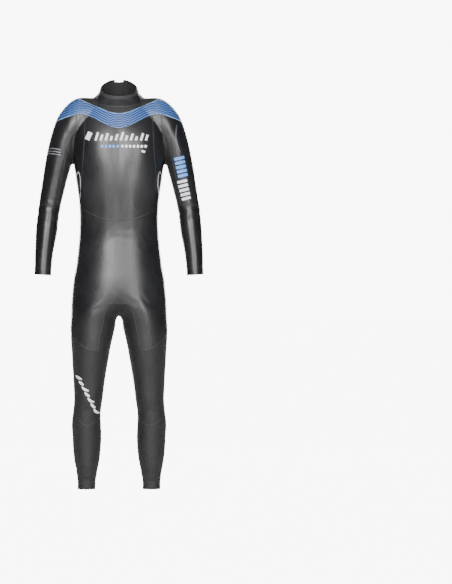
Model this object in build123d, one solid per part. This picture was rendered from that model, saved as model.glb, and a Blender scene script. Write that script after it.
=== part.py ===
"""Full triathlon wetsuit, worn shape, built as separate sewn panels.

Millimetres, +Z up, +X towards the wearer's left, front facing -Y. The origin is
the middle of the neck opening. Heights in this file are measured from the ankle
hems, and z() turns them into frame heights.
"""
from build123d import *
import math
import os

# ---- driving dimensions -------------------------------------------------
NECK_HEIGHT = 1420.0      # ankle hem to the middle of the neck opening
SHEET = 4.0               # neoprene and jersey laminate
NECK_TILT = 25.0          # degrees the collar rim falls towards the throat
COLLAR_DEPTH = 25.0       # rim to collar seam, square to the rim
BINDING_DEPTH = 6.0       # rolled edge of the collar
MID_Y = -6.0              # side seams run in this plane
CUFF_LENGTH = 24.0        # wrist and ankle cuffs
WRIST_R = 30.0
ANKLE_R = 32.0
ANKLE_X = 115.0
ANKLE_Y = 2.0

# knee and elbow bending zones
KNEE_TOP = 375.0
KNEE_BOTTOM = 255.0
ELBOW = (249.0, 985.0)    # x and height of the middle of the elbow panel
ELBOW_HALF = 50.0
ARM_TILT = 6.5            # lean of the arm from the vertical
WRIST_TILT = 3.5
WRIST_Y = -18.0
WRIST_END = (269.5, 759.0)
WRIST_TOP = (WRIST_END[0] - math.sin(math.radians(WRIST_TILT)) * CUFF_LENGTH,
             WRIST_END[1] + math.cos(math.radians(WRIST_TILT)) * CUFF_LENGTH)

# zip, which runs in the plane x = 0 up a straight, slightly leaning line
ZIP_FOOT_Y = 100.0        # back of the suit at ZIP_FOOT_HEIGHT
ZIP_FOOT_HEIGHT = 800.0
ZIP_LEAN = 0.053          # mm forward for each mm up
SLOT_HALF = 15.0          # opening between the back panels
SLOT_BOTTOM = 838.0
TAPE_INNER = 3.8
CHAIN_HALF_GAP = 0.6
TAPE = 1.4                # tape thickness
CHAIN = 3.0               # chain thickness
ZIP_TOP = 1446.0
SLIDER_HEIGHT = 861.0     # middle of the slider with the zip closed
SLIDER = (13.0, 18.0, 1.6)
SLIDER_GAP = 0.3
PIN_R = 0.9
PULLER_LENGTH = 38.0
PULLER_WIDTH = 9.0
FAR = 3000.0
CUT_TOLERANCE = 0.03      # share of the volume that a cut may lose to slivers
MIDDLE_LAP = 0.02         # the left half reaches this far past the middle

# torso and leg: height, centre x, half width, front y, back y
BODY = (
    (CUFF_LENGTH, ANKLE_X, ANKLE_R, ANKLE_Y - ANKLE_R, ANKLE_Y + ANKLE_R),
    (62, 114, 37, -37, 43),
    (103, 114, 45, -42, 57),
    (150, 114, 50, -44, 67),
    (188, 114, 51.5, -46, 70),
    (230, 116, 51.5, -48, 66),
    (273, 114, 49, -52, 57),
    (315, 109, 50, -57, 52),
    (358, 107, 53, -62, 54),
    (400, 105, 57, -68, 60),
    (443, 103, 62, -75, 67),
    (486, 100, 67, -81, 75),
    (528, 97, 73, -88, 83),
    (571, 93, 79, -94, 93),
    (613, 86, 83.5, -101, 106),
    (635, 72, 97, -104, 111),
    (665, 45, 123, -107, 118),
    (700, 18, 147, -110, 121),
    (745, 3, 157, -110, 115),
    (790, 0, 151, -106, 103),
    (830, 0, 146, -103, 98.4),
    (911, 0, 139, -100, 94.1),
    (1005, 0, 140, -112, 89.1),
    (1090, 0, 151, -124, 84.6),
    (1180, 0, 162, -128, 79.9),
    (1260, 0, 164, -119, 75.6),
    (1320, 0, 146, -100, 72.4),
    (1368, 0, 104, -80, 69.9),
    (1400, 0, 74, -66, 68.2),
    (1430, 0, 63, -61, 66.6),
    (1462, 0, 59, -60, 64.9),
)

# arm: centre x, height, lean, half width, half depth, centre y
ARM = (
    (WRIST_TOP[0], WRIST_TOP[1], WRIST_TILT, WRIST_R, WRIST_R, WRIST_Y),
    (265.5, 826, 3.5, 31.5, 33, -14),
    (261.0, 868, 5.0, 34, 37, -9),
    (256.0, 912, 6.0, 37.5, 41, -4),
    (251.5, 955, 6.5, 38.5, 42, 0),
    (246.0, 998, 7.0, 38.5, 43, 1),
    (234.0, 1060, 9.0, 41, 47, -1),
    (216.0, 1145, 10.0, 46, 55, -4),
    (201.0, 1200, 13.0, 50, 60, -7),
    (184.0, 1250, 22.0, 54, 64, -10),
    (160.0, 1290, 42.0, 63, 67, -12),
    (125.0, 1318, 62.0, 69, 65, -13),
    (70.0, 1322, 80.0, 62, 60, -13),
)

# seams seen from the front or the back, as x and height
BAND_TOP = ((-60, 1345), (-25, 1331), (0, 1328), (25, 1331), (60, 1345), (100, 1362), (150, 1385), (220, 1410))
BAND_FOOT = ((-60, 1294), (-25, 1278), (0, 1272), (25, 1278), (60, 1294), (100, 1315), (135, 1324),
             (180, 1314), (240, 1290), (320, 1270))
CHEST_SEAM = ((-70, 962), (0, 950), (70, 962), (115, 984), (145, 1002), (240, 1030))
THIGH_SEAM = ((30, 490), (71, 493), (103, 496), (135, 515), (163, 539), (220, 560))
GUSSET_SEAM = ((38, 648), (46, 628), (60, 575), (71, 493), (75, 440))
SIDE_SEAM_FRONT = ((118, 1340), (124, 1200), (130, 1120), (136, 1050), (146, 985), (175, 940))
PRINCESS_SEAM = ((142, 1420), (142, 1330), (128, 1230), (114, 1150), (122, 1060), (134, 970), (152, 900), (190, 860))
SEAT_TOP = ((-20, 838), (20, 838), (60, 858), (90, 866), (120, 845), (150, 805), (220, 770))
SEAT_FOOT = ((-60, 664), (0, 645), (60, 664), (117, 705), (150, 716), (220, 735))
ARMHOLE = ((178, 600), (178, 740), (177, 880), (175, 1010), (172, 1090), (165, 1150), (158, 1230), (150, 1310),
           (147, 1390), (146, 1460))
UNDERARM = ((172, 1240), (182, 1190), (193, 1140), (214, 1030), (222, 990))
COLLAR_SIDE = ((74, 1500), (74, 1440), (75, 1400), (80, 1350))
YOKE_SEAM = COLLAR_SIDE[1:3] + ((81, 1350), (88, 1330))


def z(height):
    """Frame height of a height above the ankle hems."""
    return height - NECK_HEIGHT


def zip_y(height):
    """Back surface of the suit along the zip."""
    return ZIP_FOOT_Y - ZIP_LEAN * (height - ZIP_FOOT_HEIGHT)


# ---- body form ----------------------------------------------------------
def body_form(grow=0.0):
    """Torso and one leg, as one loft through level ellipses."""
    rings = []
    for height, x, half_width, front, back in BODY:
        plane = Plane(origin=(x, (front + back) / 2, z(height)))
        rings.append(plane * Ellipse(half_width + grow, (back - front) / 2 + grow))
    return loft(rings)


def arm_form(grow=0.0):
    """One arm, from the wrist to inside the shoulder."""
    rings = []
    for x, height, lean, half_width, half_depth, y in ARM:
        tilt = math.radians(lean)
        across = (math.cos(tilt), 0, math.sin(tilt))
        plane = Plane(origin=(x, y, z(height)), x_dir=across, z_dir=(-math.sin(tilt), 0, math.cos(tilt)))
        rings.append(plane * Ellipse(half_width + grow, half_depth + grow))
    return loft(rings)


def half_space(point, direction):
    """Everything on the side of a plane that direction points to."""
    return Plane(origin=point, z_dir=direction) * Pos(0, 0, FAR / 2) * Box(FAR, FAR, FAR)


def prism(seam, *corners):
    """Region between a seam curve and far corners, right through the suit."""
    curve = Spline(*[(x, z(height)) for x, height in seam])
    outline = [curve @ 1] + [(x, z(height)) for x, height in corners] + [curve @ 0]
    face = make_face(curve + Polyline(*outline))
    return extrude(Plane.XZ * face, amount=FAR / 4, both=True)


def above(seam):
    """Region over a seam that runs outwards, carried on level past its inner end."""
    return prism(seam, (seam[-1][0], FAR), (-FAR / 4, FAR), (-FAR / 4, seam[0][1]))


def outboard(seam):
    """Region on the arm's side of a seam that runs up or down."""
    return prism(seam, (FAR / 4, seam[-1][1]), (FAR / 4, seam[0][1]))


def below(height):
    """Everything under a level plane."""
    return half_space((0, 0, z(height)), (0, 0, -1))


def across_arm(x, height, lean):
    """Everything on the hand's side of a plane square to the arm."""
    tilt = math.radians(lean)
    return half_space((x, 0, z(height)), (math.sin(tilt), 0, -math.cos(tilt)))


def one_shape(result, smallest=20.0):
    """Result of a cut or join as one shape, without slivers."""
    kept = [solid for solid in result.solids() if solid.volume > smallest]
    return kept[0] if len(kept) == 1 else Compound(kept)


def take(rest, cutter):
    """Cut one panel off, and give the panel and what is left."""
    panel, left_over = one_shape(rest & cutter), one_shape(rest - cutter)
    lost = rest.volume - panel.volume - left_over.volume
    if abs(lost) > CUT_TOLERANCE * rest.volume:
        raise ValueError(f"a cut lost {lost:.0f} mm3 of {rest.volume:.0f}")
    return panel, left_over


def joined(*shapes):
    """Shapes that touch, as one shape."""
    return one_shape(shapes[0].fuse(*shapes[1:]))


def cuff(plane, radius):
    """Round cuff, from the plane of its hem up."""
    return plane * Pos(0, 0, CUFF_LENGTH / 2) * (
        Cylinder(radius, CUFF_LENGTH) - Cylinder(radius - SHEET, CUFF_LENGTH + 2))


def neck_plane(depth, direction):
    """Region over (1) or under (-1) a plane at a depth under the collar rim."""
    tilt = math.radians(NECK_TILT)
    normal = Vector(0, -math.sin(tilt), math.cos(tilt))
    return half_space(normal * -depth, normal * direction)


# ---- panels of the left half --------------------------------------------
def left_half_panels():
    """Cut the left half of the shell into its sewn panels."""
    left = half_space((-MIDDLE_LAP, 0, 0), (1, 0, 0))
    front = half_space((0, MID_Y, 0), (0, -1, 0))
    outer = one_shape(joined(body_form(), arm_form()) & left)
    inner = one_shape(joined(body_form(-SHEET), arm_form(-SHEET)) & left)
    shell = one_shape(one_shape(outer - inner) & neck_plane(0, -1))
    slot = Pos(0, FAR / 4, z(SLOT_BOTTOM) + FAR / 4) * Box(2 * SLOT_HALF, FAR / 2, FAR / 2)
    panels = {}

    legs, rest = take(shell, below(KNEE_TOP))
    panels["knee_panel"], lower = take(legs, half_space((0, 0, z(KNEE_BOTTOM)), (0, 0, 1)))
    panels["ankle_cuff"] = cuff(Plane(origin=(ANKLE_X, ANKLE_Y, z(0))), ANKLE_R)
    panels["shin_panel"], panels["calf_panel"] = take(lower, front)

    sleeve, rest = take(rest, prism(ARMHOLE, (FAR / 4, ARMHOLE[-1][1]), (FAR / 4, ARMHOLE[0][1])))
    tilt = math.radians(ARM_TILT)
    lift = (-math.sin(tilt) * ELBOW_HALF, math.cos(tilt) * ELBOW_HALF)
    band, sleeve = take(sleeve, above(BAND_FOOT))
    lower_sleeve, upper_sleeve = take(sleeve, across_arm(ELBOW[0] + lift[0], ELBOW[1] + lift[1], ARM_TILT))
    panels["underarm_panel"], panels["upper_sleeve"] = take(
        upper_sleeve, prism(UNDERARM, (100, UNDERARM[-1][1]), (100, UNDERARM[0][1])))
    forearm, panels["elbow_panel"] = take(
        lower_sleeve, across_arm(ELBOW[0] - lift[0], ELBOW[1] - lift[1], ARM_TILT))
    lean = math.radians(WRIST_TILT)
    panels["wrist_cuff"] = cuff(Plane(origin=(WRIST_END[0], WRIST_Y, z(WRIST_END[1])),
                                      z_dir=(-math.sin(lean), 0, math.cos(lean))), WRIST_R)
    panels["forearm_front"], panels["forearm_back"] = take(forearm, half_space((0, -10, 0), (0, -1, 0)))

    collar, rest = take(rest, neck_plane(COLLAR_DEPTH, 1) - outboard(COLLAR_SIDE))
    collar = one_shape(collar - slot)
    panels["collar_binding"], panels["collar"] = take(collar, neck_plane(BINDING_DEPTH, 1))

    gusset, rest = take(rest, prism(GUSSET_SEAM, (-FAR / 4, GUSSET_SEAM[-1][1]), (-FAR / 4, GUSSET_SEAM[0][1]))
                        - prism(THIGH_SEAM, (THIGH_SEAM[-1][0], -FAR), (THIGH_SEAM[0][0], -FAR)))
    panels["crotch_gusset"] = gusset

    face, back = take(rest, front)
    side_front, face = take(face, outboard(SIDE_SEAM_FRONT) - above(BAND_FOOT))
    side_back, back = take(back, outboard(PRINCESS_SEAM))
    band_back, side_back = take(side_back, above(BAND_FOOT))
    panels["side_panel"] = joined(side_front, side_back)
    panels["shoulder_band"] = joined(band, band_back)

    upper_face, face = take(face, above(BAND_TOP))
    panels["shoulder_yoke"], panels["throat_yoke"] = take(upper_face, outboard(YOKE_SEAM))
    panels["chest_band"], face = take(face, above(BAND_FOOT))
    panels["chest_panel"], face = take(face, above(CHEST_SEAM))
    panels["front_body_panel"], panels["thigh_front"] = take(face, above(THIGH_SEAM))

    back = one_shape(back - slot)
    back_panel, back = take(back, above(SEAT_TOP))
    panels["back_panel"] = back_panel
    panels["seat_panel"], panels["thigh_back"] = take(back, above(SEAT_FOOT))
    return panels


CENTRE_PANELS = ("collar", "collar_binding", "throat_yoke", "chest_band", "chest_panel", "front_body_panel")
MIDDLE_SEAM_PANELS = ("crotch_gusset", "seat_panel")


def whole(half):
    """A panel that crosses the middle, from its left half."""
    return joined(half, mirror(half, about=Plane.YZ))


# ---- zip and neck tab ---------------------------------------------------
def zip_plane(height, depth=0.0):
    """Plane whose Y runs up the zip and whose Z points out of the back."""
    up = Vector(0, -ZIP_LEAN, 1).normalized()
    out = Vector(0, 1, ZIP_LEAN).normalized()
    origin = Vector(0, zip_y(height), z(height)) - out * depth
    return Plane(origin=origin, x_dir=(-1, 0, 0), z_dir=out)


def zip_bar(x_min, x_max, bottom, top, depth_min, depth_max):
    """Straight bar along the zip, by its depth under the back surface."""
    middle = (bottom + top) / 2
    size = Box(x_max - x_min, (top - bottom) / math.cos(math.atan(ZIP_LEAN)), depth_max - depth_min)
    return zip_plane(middle) * Pos(-(x_min + x_max) / 2, 0, -(depth_min + depth_max) / 2) * size


def zip_parts():
    """Tapes, chains, stops, patch and flap, all fixed to the suit."""
    chain_mid = CHAIN / 2
    parts = {}
    for side, name in ((1, "left"), (-1, "right")):
        inner, outer = sorted((side * TAPE_INNER, side * SLOT_HALF))
        parts[f"zip_tape_{name}"] = zip_bar(inner, outer, SLOT_BOTTOM, ZIP_TOP,
                                            chain_mid - TAPE / 2, chain_mid + TAPE / 2)
        inner, outer = sorted((side * CHAIN_HALF_GAP, side * TAPE_INNER))
        parts[f"zip_chain_{name}"] = zip_bar(inner, outer, SLOT_BOTTOM + 8, ZIP_TOP - 8, 0, CHAIN)
    parts["zip_bottom_stop"] = zip_bar(-TAPE_INNER, TAPE_INNER, SLOT_BOTTOM + 1, SLOT_BOTTOM + 8, 0, CHAIN)
    parts["zip_top_stop"] = zip_bar(-TAPE_INNER, TAPE_INNER, ZIP_TOP - 8, ZIP_TOP - 2, 0, CHAIN)
    patch_area = Pos(0, 110, z(806)) * Box(40, 60, 64)
    parts["zip_end_patch"] = one_shape((body_form(1.95) - body_form(0.35)) & patch_area)
    parts["zip_backing_flap"] = zip_bar(-24, 24, 812, 1396, 8.0, 10.0)
    return parts


def zip_slider():
    """Two plates round the chain, joined by a thin post, with a pin for the puller."""
    width, length, plate = SLIDER
    plane = zip_plane(SLIDER_HEIGHT)
    rounded = extrude(RectangleRounded(width, length, 3.0), amount=plate)
    top = plane * Pos(0, 0, SLIDER_GAP) * rounded
    foot = plane * Pos(0, 0, -CHAIN - SLIDER_GAP - plate / 2) * Box(width * 0.8, length, plate)
    post = plane * Pos(0, length / 2 - 2, -CHAIN / 2) * Box(0.6, 3.0, CHAIN + 2 * SLIDER_GAP + plate)
    body = top + foot + post
    pin_out = SLIDER_GAP + plate + 2.6
    for side in (-1, 1):
        body += plane * Pos(side * 3.6, -2, SLIDER_GAP + plate + 1.9) * Box(1.6, 5.0, 4.2)
    body += plane * Pos(0, -2, pin_out) * Rot(0, 90, 0) * Cylinder(PIN_R, 7.2)
    return body


def zip_puller():
    """Flat tab that hangs from the slider's pin."""
    plane = zip_plane(SLIDER_HEIGHT)
    pin_out = SLIDER_GAP + SLIDER[2] + 2.6
    eye = Rot(0, 90, 0) * (Cylinder(PIN_R + 1.3, 4.6) - Cylinder(PIN_R + 0.25, 6))
    stem = Pos(0, -8.2, 0) * Box(3.4, 13.0, 1.6)
    tab = Pos(0, -PULLER_LENGTH + 12, 0) * extrude(
        RectangleRounded(PULLER_WIDTH, 24, 3.2) - Pos(0, -6.5) * Circle(2.2), amount=1.1, both=True)
    return plane * Pos(0, -2, pin_out) * (eye + stem + tab)


TAB_X = (-14.0, 57.0)
TAB_HEIGHT = (1400.0, 1428.0)
LOOP_X = (17.0, 62.0)


def neck_tab_parts():
    """Hook tab over the zip's top end, and the loop pad that it presses on."""
    near_neck = [row for row in BODY if row[0] > 1300]

    def sleeve(grow):
        rings = [Plane(origin=(x, (front + back) / 2, z(height))) * Ellipse(w + grow, (back - front) / 2 + grow)
                 for height, x, w, front, back in near_neck]
        return loft(rings)

    def window(x_range, inset=0.0):
        low, high = TAB_HEIGHT
        middle = (x_range[0] + x_range[1]) / 2
        size = Box(x_range[1] - x_range[0], FAR / 2, high - low - 2 * inset)
        return Pos(middle, FAR / 4, z((low + high) / 2)) * size

    skin = sleeve(0.0)
    pad_face = sleeve(0.8)
    tab = (sleeve(3.4) - sleeve(1.1)) & window(TAB_X)
    pad = (pad_face - skin) & window(LOOP_X, inset=2.0)
    return {"neck_tab": tab, "neck_loop_pad": pad}


# ---- build and write ----------------------------------------------------
def all_parts():
    """Every node of the suit by its name."""
    parts = {}
    for name, half in left_half_panels().items():
        if name in CENTRE_PANELS:
            parts[name] = whole(half)
        else:
            if name in MIDDLE_SEAM_PANELS:
                half = one_shape(half & half_space((MIDDLE_LAP, 0, 0), (1, 0, 0)))
            parts[f"{name}_left"] = half
            parts[f"{name}_right"] = mirror(half, about=Plane.YZ)
    parts.update(zip_parts())
    parts["zip_slider"] = zip_slider()
    parts["zip_puller"] = zip_puller()
    parts.update(neck_tab_parts())
    return parts


if __name__ == "__main__":
    os.makedirs("parts", exist_ok=True)
    for name, shape in all_parts().items():
        export_step(one_shape(shape, smallest=1.0), f"parts/{name}.step")
        print(f"{name}: {len(shape.solids())} solid(s), {shape.volume / 1000:.1f} cm3")
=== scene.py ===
"""Full triathlon wetsuit in worn shape: sewn panels, seams, prints, back zip and neck tab.

Lengths are millimetres until a mesh is made. A point is (x, y, height), with the height
measured from the ankle hems; the frame's origin is the middle of the neck opening.
"""
import logging
import math
from collections import defaultdict
from dataclasses import dataclass
from enum import Enum
from typing import Callable

import bmesh
import bpy
import numpy as np
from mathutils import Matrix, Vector, noise
from mathutils.bvhtree import BVHTree


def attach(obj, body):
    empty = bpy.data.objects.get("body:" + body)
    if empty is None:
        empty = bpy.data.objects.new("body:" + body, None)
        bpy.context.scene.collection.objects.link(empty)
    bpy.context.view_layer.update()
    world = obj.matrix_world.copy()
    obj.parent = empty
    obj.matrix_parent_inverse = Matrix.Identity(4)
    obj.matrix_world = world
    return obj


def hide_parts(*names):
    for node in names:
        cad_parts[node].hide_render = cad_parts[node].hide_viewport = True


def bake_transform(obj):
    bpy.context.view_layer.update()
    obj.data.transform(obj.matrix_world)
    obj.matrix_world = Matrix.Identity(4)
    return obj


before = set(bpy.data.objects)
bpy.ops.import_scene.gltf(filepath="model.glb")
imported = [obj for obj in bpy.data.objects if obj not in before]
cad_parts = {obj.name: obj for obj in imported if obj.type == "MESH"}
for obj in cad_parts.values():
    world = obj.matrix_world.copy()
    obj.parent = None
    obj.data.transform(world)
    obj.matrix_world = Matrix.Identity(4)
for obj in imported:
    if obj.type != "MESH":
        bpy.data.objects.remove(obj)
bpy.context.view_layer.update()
log = logging.getLogger("wetsuit")

MM = 0.001
NECK_HEIGHT = 1420.0  # of the frame's origin over the hems
NECK_TILT = math.radians(25.0)  # how far the collar's rim leans forward
MID_Y = -6.0  # plane where front and back panels meet
SKIN = 3.6  # neoprene
ZIP_LEAN = 0.053  # run of the back towards the front, per millimetre up the zip
SLOT_HALF, SLOT_BOTTOM, SLOT_TOP = 15.0, 838.0, 1446.0  # gap in the back that the zip fills
SLIDER_HEIGHT = 861.0
BAND_LINE = 8.4  # pitch of the contour lines on the shoulder band
OUTSIDE = 500.0  # where rays at the suit start


class Side(Enum):
    """Wearer's side: the value is the sign of x."""

    LEFT = 1
    RIGHT = -1

    @property
    def word(self) -> str:
        """Lower-case name used in node names."""
        return self.name.lower()


class Face(Enum):
    """Which way a print is laid on: from the front or from the back."""

    FRONT = -1
    BACK = 1


# ------------------------------------------------------------------ small tools
def smooth_line(xs: np.ndarray, ys: np.ndarray, at: np.ndarray) -> np.ndarray:
    """Smooth curve through points.

    Args:
        xs: Rising positions of the points.
        ys: Their values, one row each.
        at: Positions to read, held at the ends.
    Returns:
        The values there.
    """
    xs, ys = np.asarray(xs, float), np.asarray(ys, float)
    steps = np.diff(xs)
    slopes = (np.diff(ys, axis=0).T / steps).T
    inner = ((slopes[:-1].T * steps[1:] + slopes[1:].T * steps[:-1]) / (steps[1:] + steps[:-1])).T
    tangents = np.concatenate([slopes[:1], inner, slopes[-1:]])
    at = np.clip(at, xs[0], xs[-1])
    k = np.clip(np.searchsorted(xs, at, side="right") - 1, 0, len(steps) - 1)
    t = (at - xs[k]) / steps[k]
    shape = (-1,) + (1,) * (ys.ndim - 1)
    t, step = t.reshape(shape), steps[k].reshape(shape)
    return ((2 * t**3 - 3 * t**2 + 1) * ys[k] + (t**3 - 2 * t**2 + t) * step * tangents[k]
            + (3 * t**2 - 2 * t**3) * ys[k + 1] + (t**3 - t**2) * step * tangents[k + 1])


def ramp(value: np.ndarray, start: float, end: float) -> np.ndarray:
    """Smooth step from 0 at start to 1 at end."""
    t = np.clip((value - start) / (end - start), 0, 1)
    return t * t * (3 - 2 * t)


def bump(value: np.ndarray, middle: float, width: float) -> np.ndarray:
    """Bell of height 1 about middle."""
    return np.exp(-(((value - middle) / width) ** 2))


def wander(points: np.ndarray, size: float) -> np.ndarray:
    """Slow noise over points, with swells of about the given size."""
    return np.array([noise.noise(Vector(place)) for place in points / size])


def to_frame(points: np.ndarray) -> np.ndarray:
    """Suit points in millimetres as frame points in metres."""
    moved = np.array(points, float)
    moved[:, 2] -= NECK_HEIGHT
    return moved * MM


def zip_y(height: float) -> float:
    """Back surface along the zip."""
    return 100.0 - ZIP_LEAN * (height - 800.0)


def mesh_object(name: str, points: np.ndarray, faces: list) -> bpy.types.Object:
    """Make a linked object from suit points.

    Args:
        name: Object name.
        points: Suit points in millimetres.
        faces: Vertex lists, outward by the right-hand rule.
    Returns:
        The object, at the origin.
    """
    mesh = bpy.data.meshes.new(name)
    mesh.from_pydata(to_frame(np.asarray(points)).tolist(), [], faces)
    mesh.update()
    obj = bpy.data.objects.new(name, mesh)
    bpy.context.scene.collection.objects.link(obj)
    return obj


def grid(rows: int, columns: int, start: int = 0, closed: bool = False, flip: bool = False) -> list:
    """Quads of a grid of points laid row by row.

    Args:
        rows: Number of rows.
        columns: Points in a row.
        start: Number of the first point.
        closed: Join each row's last point to its first.
        flip: Face the other way.
    Returns:
        The quads' point numbers.
    """
    quads = []
    for r in range(rows - 1):
        for c in range(columns if closed else columns - 1):
            a, b = start + r * columns + c, start + r * columns + (c + 1) % columns
            quads.append((a, a + columns, b + columns, b) if flip else (a, b, b + columns, a + columns))
    return quads


def run_along(points: np.ndarray) -> np.ndarray:
    """Distance of each point from the first, along the line through them."""
    return np.concatenate([[0], np.cumsum(np.linalg.norm(np.diff(points, axis=0), axis=1))])


def corner_points(obj: bpy.types.Object) -> np.ndarray:
    """Point number of every face corner."""
    numbers = np.empty(len(obj.data.loops), int)
    obj.data.loops.foreach_get("vertex_index", numbers)
    return numbers


def set_uv(obj: bpy.types.Object, uvs: list) -> None:
    """Give every corner its point's UV, in the layer named run."""
    layer = obj.data.uv_layers.new(name="run")
    layer.data.foreach_set("uv", np.asarray(uvs, float)[corner_points(obj)].ravel())


def select_only(obj: bpy.types.Object) -> None:
    """Make obj the only selected and the active object."""
    for other in bpy.context.selected_objects:
        other.select_set(False)
    obj.select_set(True)
    bpy.context.view_layer.objects.active = obj


def apply_all(obj: bpy.types.Object) -> None:
    """Apply every modifier of obj."""
    select_only(obj)
    for modifier in list(obj.modifiers):
        bpy.ops.object.modifier_apply(modifier=modifier.name)


def shade(obj: bpy.types.Object, degrees: float = 180.0) -> None:
    """Shade an object smooth, with edges sharper than the angle left crisp."""
    select_only(obj)
    bpy.ops.object.shade_smooth_by_angle(angle=math.radians(degrees))


def thicken(obj: bpy.types.Object, depth: float, inner: int = 0) -> None:
    """Give a sheet its thickness, inwards, with material slot inner on the new faces."""
    solid = obj.modifiers.new("thickness", "SOLIDIFY")
    solid.thickness, solid.offset = depth * MM, -1.0
    solid.material_offset = solid.material_offset_rim = inner
    apply_all(obj)


def face_outwards(obj: bpy.types.Object, merge: bool = False) -> None:
    """Turn a closed mesh's faces outwards, after merging its doubles if asked."""
    shape = bmesh.new()
    shape.from_mesh(obj.data)
    if merge:
        bmesh.ops.remove_doubles(shape, verts=shape.verts, dist=1e-6)
    bmesh.ops.recalc_face_normals(shape, faces=shape.faces)
    shape.to_mesh(obj.data)
    shape.free()


def settle(obj: bpy.types.Object, degrees: float) -> bpy.types.Object:
    """Face a finished piece outwards and shade it."""
    face_outwards(obj, merge=True)
    shade(obj, degrees)
    return obj


def report(obj: bpy.types.Object, body: str, nodes: tuple = ()) -> bpy.types.Object:
    """Ride a finished piece on its body and the nodes it stands for.

    Args:
        obj: The piece.
        body: Body it is fixed to.
        nodes: CAD nodes it stands for, if any.
    Returns:
        The piece.
    """
    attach(obj, body)
    if nodes:
        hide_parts(*nodes)
    log.info("%s rides %s: %d faces", obj.name, body, len(obj.data.polygons))
    return obj


# ------------------------------------------------------------------ seam lines
def curve(*points: tuple) -> tuple:
    """Seam line through points, rising in their first value."""
    return tuple(np.array(column, float) for column in zip(*points))


def along(line: tuple, at: np.ndarray) -> np.ndarray:
    """Value of a seam line."""
    return smooth_line(line[0], line[1], at)


BAND_TOP = curve((-60, 1345), (-25, 1331), (0, 1328), (25, 1331), (60, 1345), (100, 1362), (150, 1385), (220, 1410))
BAND_FOOT = curve((-60, 1294), (-25, 1278), (0, 1272), (25, 1278), (60, 1294), (100, 1315), (135, 1324),
                  (180, 1314), (240, 1290), (320, 1270))
CHEST_SEAM = curve((-70, 962), (0, 950), (70, 962), (115, 984), (145, 1002), (240, 1030))
THIGH_SEAM = curve((30, 490), (71, 493), (103, 496), (135, 515), (163, 539), (220, 560))
GUSSET_SEAM = curve((440, 75), (493, 71), (575, 60), (628, 46), (648, 38))
SIDE_SEAM = curve((940, 175), (985, 146), (1050, 136), (1120, 130), (1200, 124), (1340, 118))
PRINCESS_SEAM = curve((860, 190), (900, 152), (970, 134), (1060, 122), (1150, 114), (1230, 128), (1330, 142),
                      (1420, 142))
SEAT_TOP = curve((-20, 838), (20, 838), (60, 858), (90, 866), (120, 845), (150, 805), (220, 770))
SEAT_FOOT = curve((-60, 664), (0, 645), (60, 664), (117, 705), (150, 716), (220, 735))
ARMHOLE = curve((600, 178), (880, 177), (1010, 175), (1090, 172), (1150, 165), (1230, 158), (1310, 150),
                (1390, 147), (1460, 146))
UNDERARM = curve((990, 222), (1030, 214), (1140, 193), (1190, 182), (1240, 170), (1265, 153), (1300, 130))
YOKE_SEAM = curve((1330, 88), (1350, 81), (1400, 75), (1440, 74))
KNEE_FOOT = curve((-60, 254), (-38, 249), (-18, 233), (0, 227), (18, 233), (38, 249), (60, 254))
KNEE_X = 109.0
BACK_KNEE = curve((-60, 318), (-25, 326), (0, 330), (25, 326), (60, 318))
BINDING_DEPTH, COLLAR_DEPTH = 6.0, 25.0
KNEE_TOP, CUFF = 375.0, 24.0
ELBOW_HALF = 50.0  # half length of the stretch that bends
FOREARM_Y = -10.0  # plane between the forearm's two panels
ELBOW = (249.0, 985.0)
ARM_LEAN = math.radians(6.5)
WRIST_END = (269.5, 759.0)
WRIST_LEAN = math.radians(3.5)


def under_rim(p: np.ndarray) -> np.ndarray:
    """Depth of points under the plane of the collar rim."""
    return (p[:, 1] * math.sin(NECK_TILT)) - (p[:, 2] - NECK_HEIGHT) * math.cos(NECK_TILT)


def past_elbow(p: np.ndarray) -> np.ndarray:
    """Distance of points beyond the elbow's middle, towards the hand."""
    return (abs(p[:, 0]) - ELBOW[0]) * math.sin(ARM_LEAN) - (p[:, 2] - ELBOW[1]) * math.cos(ARM_LEAN)


def from_wrist(p: np.ndarray) -> np.ndarray:
    """Distance of points up the arm from the wrist hem."""
    return (p[:, 2] - WRIST_END[1]) * math.cos(WRIST_LEAN) - (abs(p[:, 0]) - WRIST_END[0]) * math.sin(WRIST_LEAN)


def elbow_line(p: np.ndarray) -> np.ndarray:
    """Height of points over the seam where the sleeve meets the elbow panel."""
    return p[:, 2] - 1007.0 + 36.0 * ramp(p[:, 1], -30, 30)


def in_arm(p: np.ndarray) -> np.ndarray:
    """True for points of the sleeves."""
    return (abs(p[:, 0]) > along(ARMHOLE, p[:, 2])) & (p[:, 2] > 650)


def across(line: tuple) -> Callable:
    """Distance of points outside a seam that runs up the body."""
    return lambda p: abs(p[:, 0]) - along(line, p[:, 2])


def above(line: tuple, middle: float = 0.0) -> Callable:
    """Height of points over a seam that runs across the body, centred on x = middle."""
    return lambda p: p[:, 2] - along(line, abs(p[:, 0]) - middle)


def past(distance: Callable, reach: float) -> Callable:
    """A distance measured from further on."""
    return lambda p: distance(p) - reach


def part(low: float = -9e9, high: float = 9e9, back: float = -9e9, front: float = 9e9, wide: float = 9e9,
         sleeve: bool = False) -> Callable:
    """Region of the suit between two heights, and optionally in a range of y, of x, or of the sleeves.

    Args:
        low: Lowest height.
        high: Highest height.
        back: Least y.
        front: Greatest y.
        wide: Greatest distance from the middle.
        sleeve: Take only the sleeves.
    """
    def inside(p: np.ndarray) -> np.ndarray:
        """True for points of the region."""
        found = (p[:, 2] > low) & (p[:, 2] < high) & (p[:, 1] > back) & (p[:, 1] < front) & (abs(p[:, 0]) < wide)
        return found & in_arm(p) if sleeve else found
    return inside


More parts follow.
